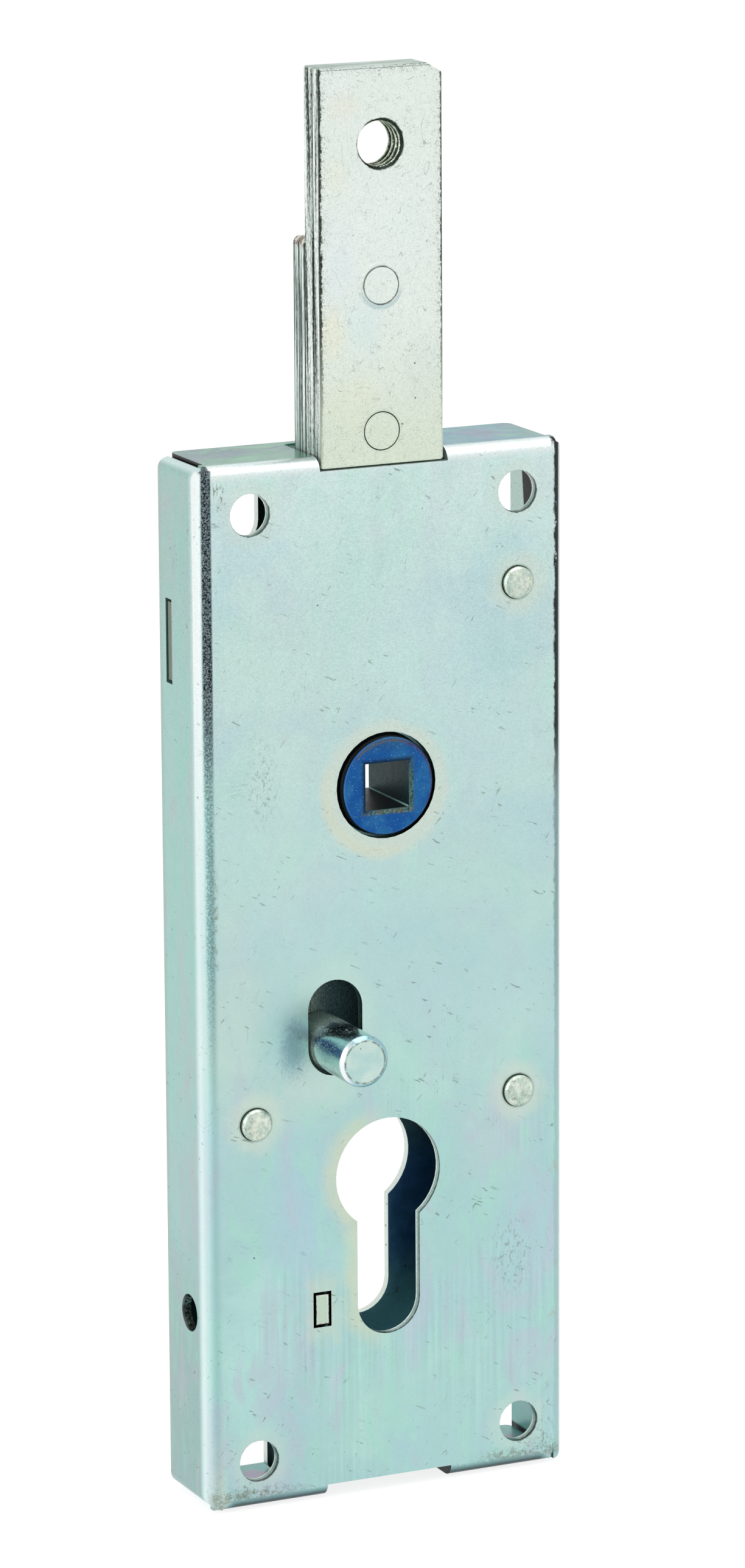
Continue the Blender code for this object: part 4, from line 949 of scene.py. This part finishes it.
def lathe(profile, middle):
    """A bmesh turned about the line from front to rear through the middle, from (radius, y) points."""
    bm = bmesh.new()
    rings = [circle(bm, middle, y, [radius] * TURNED_STEPS if radius else [0]) for radius, y in profile]
    skin(bm, rings, closed=profile[0][0] > 0)
    return bm


def rounded_profile(corners):
    """Softens the corners of a turned profile, given as (radius, y, size of the rounding)."""
    points = []
    for index, (radius, y, size) in enumerate(corners):
        if not size:
            points.append((radius, y))
            continue
        here = Vector((radius, y))
        back = (Vector(corners[index - 1][:2]) - here).normalized() * size
        ahead = (Vector(corners[(index + 1) % len(corners)][:2]) - here).normalized() * size
        for step in range(5):
            t = step / 4
            bend = (here + back) * (1 - t) ** 2 + here * 2 * t * (1 - t) + (here + ahead) * t ** 2
            points.append((bend.x, bend.y))
    return points


def make_pin(material):
    profile = rounded_profile(
        [
            (0, -13.05, 0), (3.35, -13.05, 0.08), (4.0, -12.5, 0.18), (4.0, 3.6, 0), (2.75, 3.6, 0),
            (2.75, 7.9, 0), (3.05, 7.9, 0), (3.05, 8.35, 0), (0, 8.35, 0),
        ],
    )
    piece = new_piece("turned_pin", lathe(profile, PIN), "bolt", material)
    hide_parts("operating_pin")


def make_thread(material):
    """The M8 thread: a helical ridge on the wall of the hole through both bolt strips."""
    front, rear = THREAD_FRONT, THREAD_REAR
    count = round((rear - front) / THREAD_PITCH * THREAD_ROWS)
    bm = bmesh.new()
    rings = []
    for row in range(count + 1):
        y = front + (rear - front) * row / count
        sink = max(0.0, 0.5 - min(y - front, rear - y))
        radii = []
        for step in range(THREAD_STEPS):
            phase = ((y - front) / THREAD_PITCH - step / THREAD_STEPS) % 1.0
            ridge = 1 - abs(phase - 0.5) * 2
            radii.append(
                min(THREAD_ROOT, THREAD_ROOT - (THREAD_ROOT - THREAD_CREST) * min(1.0, ridge * 1.25) + sink)
            )
        rings.append(circle(bm, THREAD, y, radii))
    for y in (rear, front):
        rings.append(circle(bm, THREAD, y, [THREAD_ROOT + 0.03] * THREAD_STEPS))
    skin(bm, rings, closed=True)
    new_piece("link_thread", bm, "bolt", material)


def make_spring(material):
    """The return spring, with a closed turn at each end."""
    low, high = (Vector(corner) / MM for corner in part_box("bolt_spring"))
    middle = (low + high) / 2
    wire = SPRING_WIRE / 2
    radius = (high.x - low.x) / 2 - wire
    foot, head = low.z + wire, high.z - wire
    pitch = (head - foot - 2 * SPRING_CLOSED_PITCH) / (SPRING_TURNS - 2)
    steps, sides = 32, 12
    upward = Vector((0, 0, 1))
    bm = bmesh.new()
    rings = []
    for step in range(SPRING_TURNS * steps + 1):
        turn = step / steps
        first, last = min(turn, 1), max(turn - SPRING_TURNS + 1, 0)
        height = foot + SPRING_CLOSED_PITCH * (first + last) + pitch * (turn - first - last)
        outward = Vector((math.cos(2 * math.pi * turn), math.sin(2 * math.pi * turn), 0))
        centre = Vector((middle.x, middle.y, height)) + outward * radius
        ring = []
        for side in range(sides):
            tilt = 2 * math.pi * side / sides
            reach = outward * math.cos(tilt) + upward * math.sin(tilt)
            ring.append(bm.verts.new((centre + reach * wire) * MM))
        rings.append(ring)
    skin(bm, rings, closed=False)
    bm.faces.new(rings[0])
    bm.faces.new(rings[-1])
    piece = new_piece("return_spring", bm, "case", material)
    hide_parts("bolt_spring")
    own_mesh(piece)


def make_rivet_ring(middle, material):
    """The thin ring of metal, burnished flush, that closes the joint round the upper rivet."""
    face = FACE_Y + 0.75
    profile = rounded_profile([
        (2.86, face - 0.02, 0), (3.45, face - 0.02, 0.01), (3.50, face + 0.01, 0), (2.86, face + 0.01, 0),
    ])
    new_piece("rivet_ring_upper", lathe(profile, middle), "bolt", material)


def area_light(name, place, aim, size):
    light = bpy.data.lights.new(name, "AREA")
    light.shape = "RECTANGLE"
    light.size, light.size_y = size
    light.energy = LAMP_POWER
    obj = added(name, light)
    obj.location = place
    obj.rotation_euler = (Vector(aim) - Vector(place)).to_track_quat("-Z", "Y").to_euler()


def backdrop_rays(tree):
    """1 for the rays that see the backdrop: the camera's, and those through glass or off metal."""
    rays = tree.nodes.new("ShaderNodeLightPath").outputs
    seen = rays["Is Camera Ray"]
    for kind in ("Is Transmission Ray", "Is Glossy Ray"):
        either = tree.nodes.new("ShaderNodeMath")
        either.operation = "MAXIMUM"
        tree.links.new(seen, either.inputs[0])
        tree.links.new(rays[kind], either.inputs[1])
        seen = either.outputs[0]
    return seen


def make_world():
    world = bpy.data.worlds.new("studio")
    scene.world = world
    world.use_nodes = True
    tree = world.node_tree
    background = tree.nodes["Background"]
    strength = tree.nodes.new("ShaderNodeMapRange")
    strength.inputs["To Min"].default_value = WORLD_LIGHT
    strength.inputs["To Max"].default_value = 1.0
    tree.links.new(backdrop_rays(tree), strength.inputs["Value"])
    tree.links.new(strength.outputs[0], background.inputs["Strength"])
    background.inputs["Color"].default_value = (1, 1, 1, 1)


def make_floor():
    """A white floor that keeps a soft shadow."""
    bm = bmesh.new()
    bmesh.ops.create_grid(bm, x_segments=1, y_segments=1, size=FLOOR_HALF)
    mesh = bpy.data.meshes.new("floor")
    bm.to_mesh(mesh)
    bm.free()
    floor = added("floor", mesh)
    floor.location.z = FLOOR_Z
    material = bpy.data.materials.new("floor_white")
    material.use_nodes = True
    tree = material.node_tree
    tree.nodes.clear()
    link = tree.links.new
    output = tree.nodes.new("ShaderNodeOutputMaterial")
    matt = tree.nodes.new("ShaderNodeBsdfDiffuse")
    glow = tree.nodes.new("ShaderNodeEmission")
    seen = backdrop_rays(tree)
    share = tree.nodes.new("ShaderNodeMath")
    share.operation = "MULTIPLY"
    share.inputs[1].default_value = FLOOR_GLOW
    link(seen, share.inputs[0])
    link(share.outputs[0], glow.inputs["Strength"])
    grey = tree.nodes.new("ShaderNodeMix")
    grey.data_type = "RGBA"
    grey.inputs[6].default_value = FLOOR_LIT
    grey.inputs[7].default_value = FLOOR_SEEN
    link(seen, grey.inputs[0])
    link(grey.outputs[2], matt.inputs["Color"])
    both = tree.nodes.new("ShaderNodeAddShader")
    link(matt.outputs[0], both.inputs[0])
    link(glow.outputs[0], both.inputs[1])
    link(both.outputs[0], output.inputs["Surface"])
    mesh.materials.append(material)


def make_studio():
    """White surroundings, a white floor and two large soft lamps."""
    make_world()
    make_floor()
    middle = (0, 0, 0.1)
    area_light("left_box", (-0.75, -0.35, 0.22), middle, (0.5, 0.9))
    area_light("top_box", (0.10, -0.20, 0.95), middle, (0.7, 0.7))


def make_camera():
    cosine = math.cos(CAMERA_ELEVATION)
    flat_right = Vector((math.cos(CAMERA_AZIMUTH), -math.sin(CAMERA_AZIMUTH), 0))
    forward = Vector((
        math.sin(CAMERA_AZIMUTH) * cosine, math.cos(CAMERA_AZIMUTH) * cosine, -math.sin(CAMERA_ELEVATION)
    ))
    flat_up = flat_right.cross(forward)
    right = flat_right * math.cos(CAMERA_ROLL) - flat_up * math.sin(CAMERA_ROLL)
    up = flat_right * math.sin(CAMERA_ROLL) + flat_up * math.cos(CAMERA_ROLL)
    lens = bpy.data.cameras.new("camera")
    lens.sensor_fit = "VERTICAL"
    lens.sensor_height = CAMERA_SENSOR
    lens.lens = CAMERA_LENS
    camera = added("camera", lens)
    turn = Matrix((right, up, -forward)).transposed().to_4x4()
    camera.matrix_world = Matrix.Translation(CAMERA_PLACE) @ turn
    scene.camera = camera


scene = bpy.context.scene
for obj in list(bpy.data.objects):
    bpy.data.objects.remove(obj)
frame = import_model()
make_camera()
scene.view_settings.view_transform = "Standard"

zinc, inner, tenon, strip = zinc_case(), zinc_inner(), zinc_tenon(), zinc_strip()
carriage, steel, hub_blue, wire = carriage_steel(), bright_inner(), blued_hub(), spring_wire()
FINISHES = {
    "case_shell": (zinc, 0.14), "back_plate": (inner, 0.14), "hub_washer": (inner, 0.08),
    "pillar_upper_right": (tenon, 0), "pillar_lower_right": (tenon, 0), "pillar_lower_left": (tenon, 0),
    "cylinder_screw_bracket": (tenon, 0.12), "spring_guide_rod": (steel, 0), "bolt_spring": (wire, 0),
    "bolt_front_plate": (strip, 0.12), "bolt_threaded_plate": (strip, 0.12),
    "carriage_front_plate": (carriage, 0.12), "carriage_rear_plate": (carriage, 0.12),
    "bolt_rivet_lower": (strip, 0.05), "bolt_rivet_upper": (strip, 0.05),
    "carriage_rivet_lower": (steel, 0.05), "carriage_rivet_upper": (steel, 0.05),
    "glide_collar_lower": (steel, 0.1), "glide_collar_upper": (steel, 0.1),
    "operating_pin": (steel, 0), "hub": (hub_blue, 0.08),
}
for node, (finish, width) in FINISHES.items():
    dress(frame["nodes"][node], finish)
    if width:
        soften(frame["nodes"][node], width)

make_pin(bright_pin())
make_thread(thread_steel())
make_rivet_ring(BOLT_RIVETS[1], strip)
make_spring(wire)
make_studio()
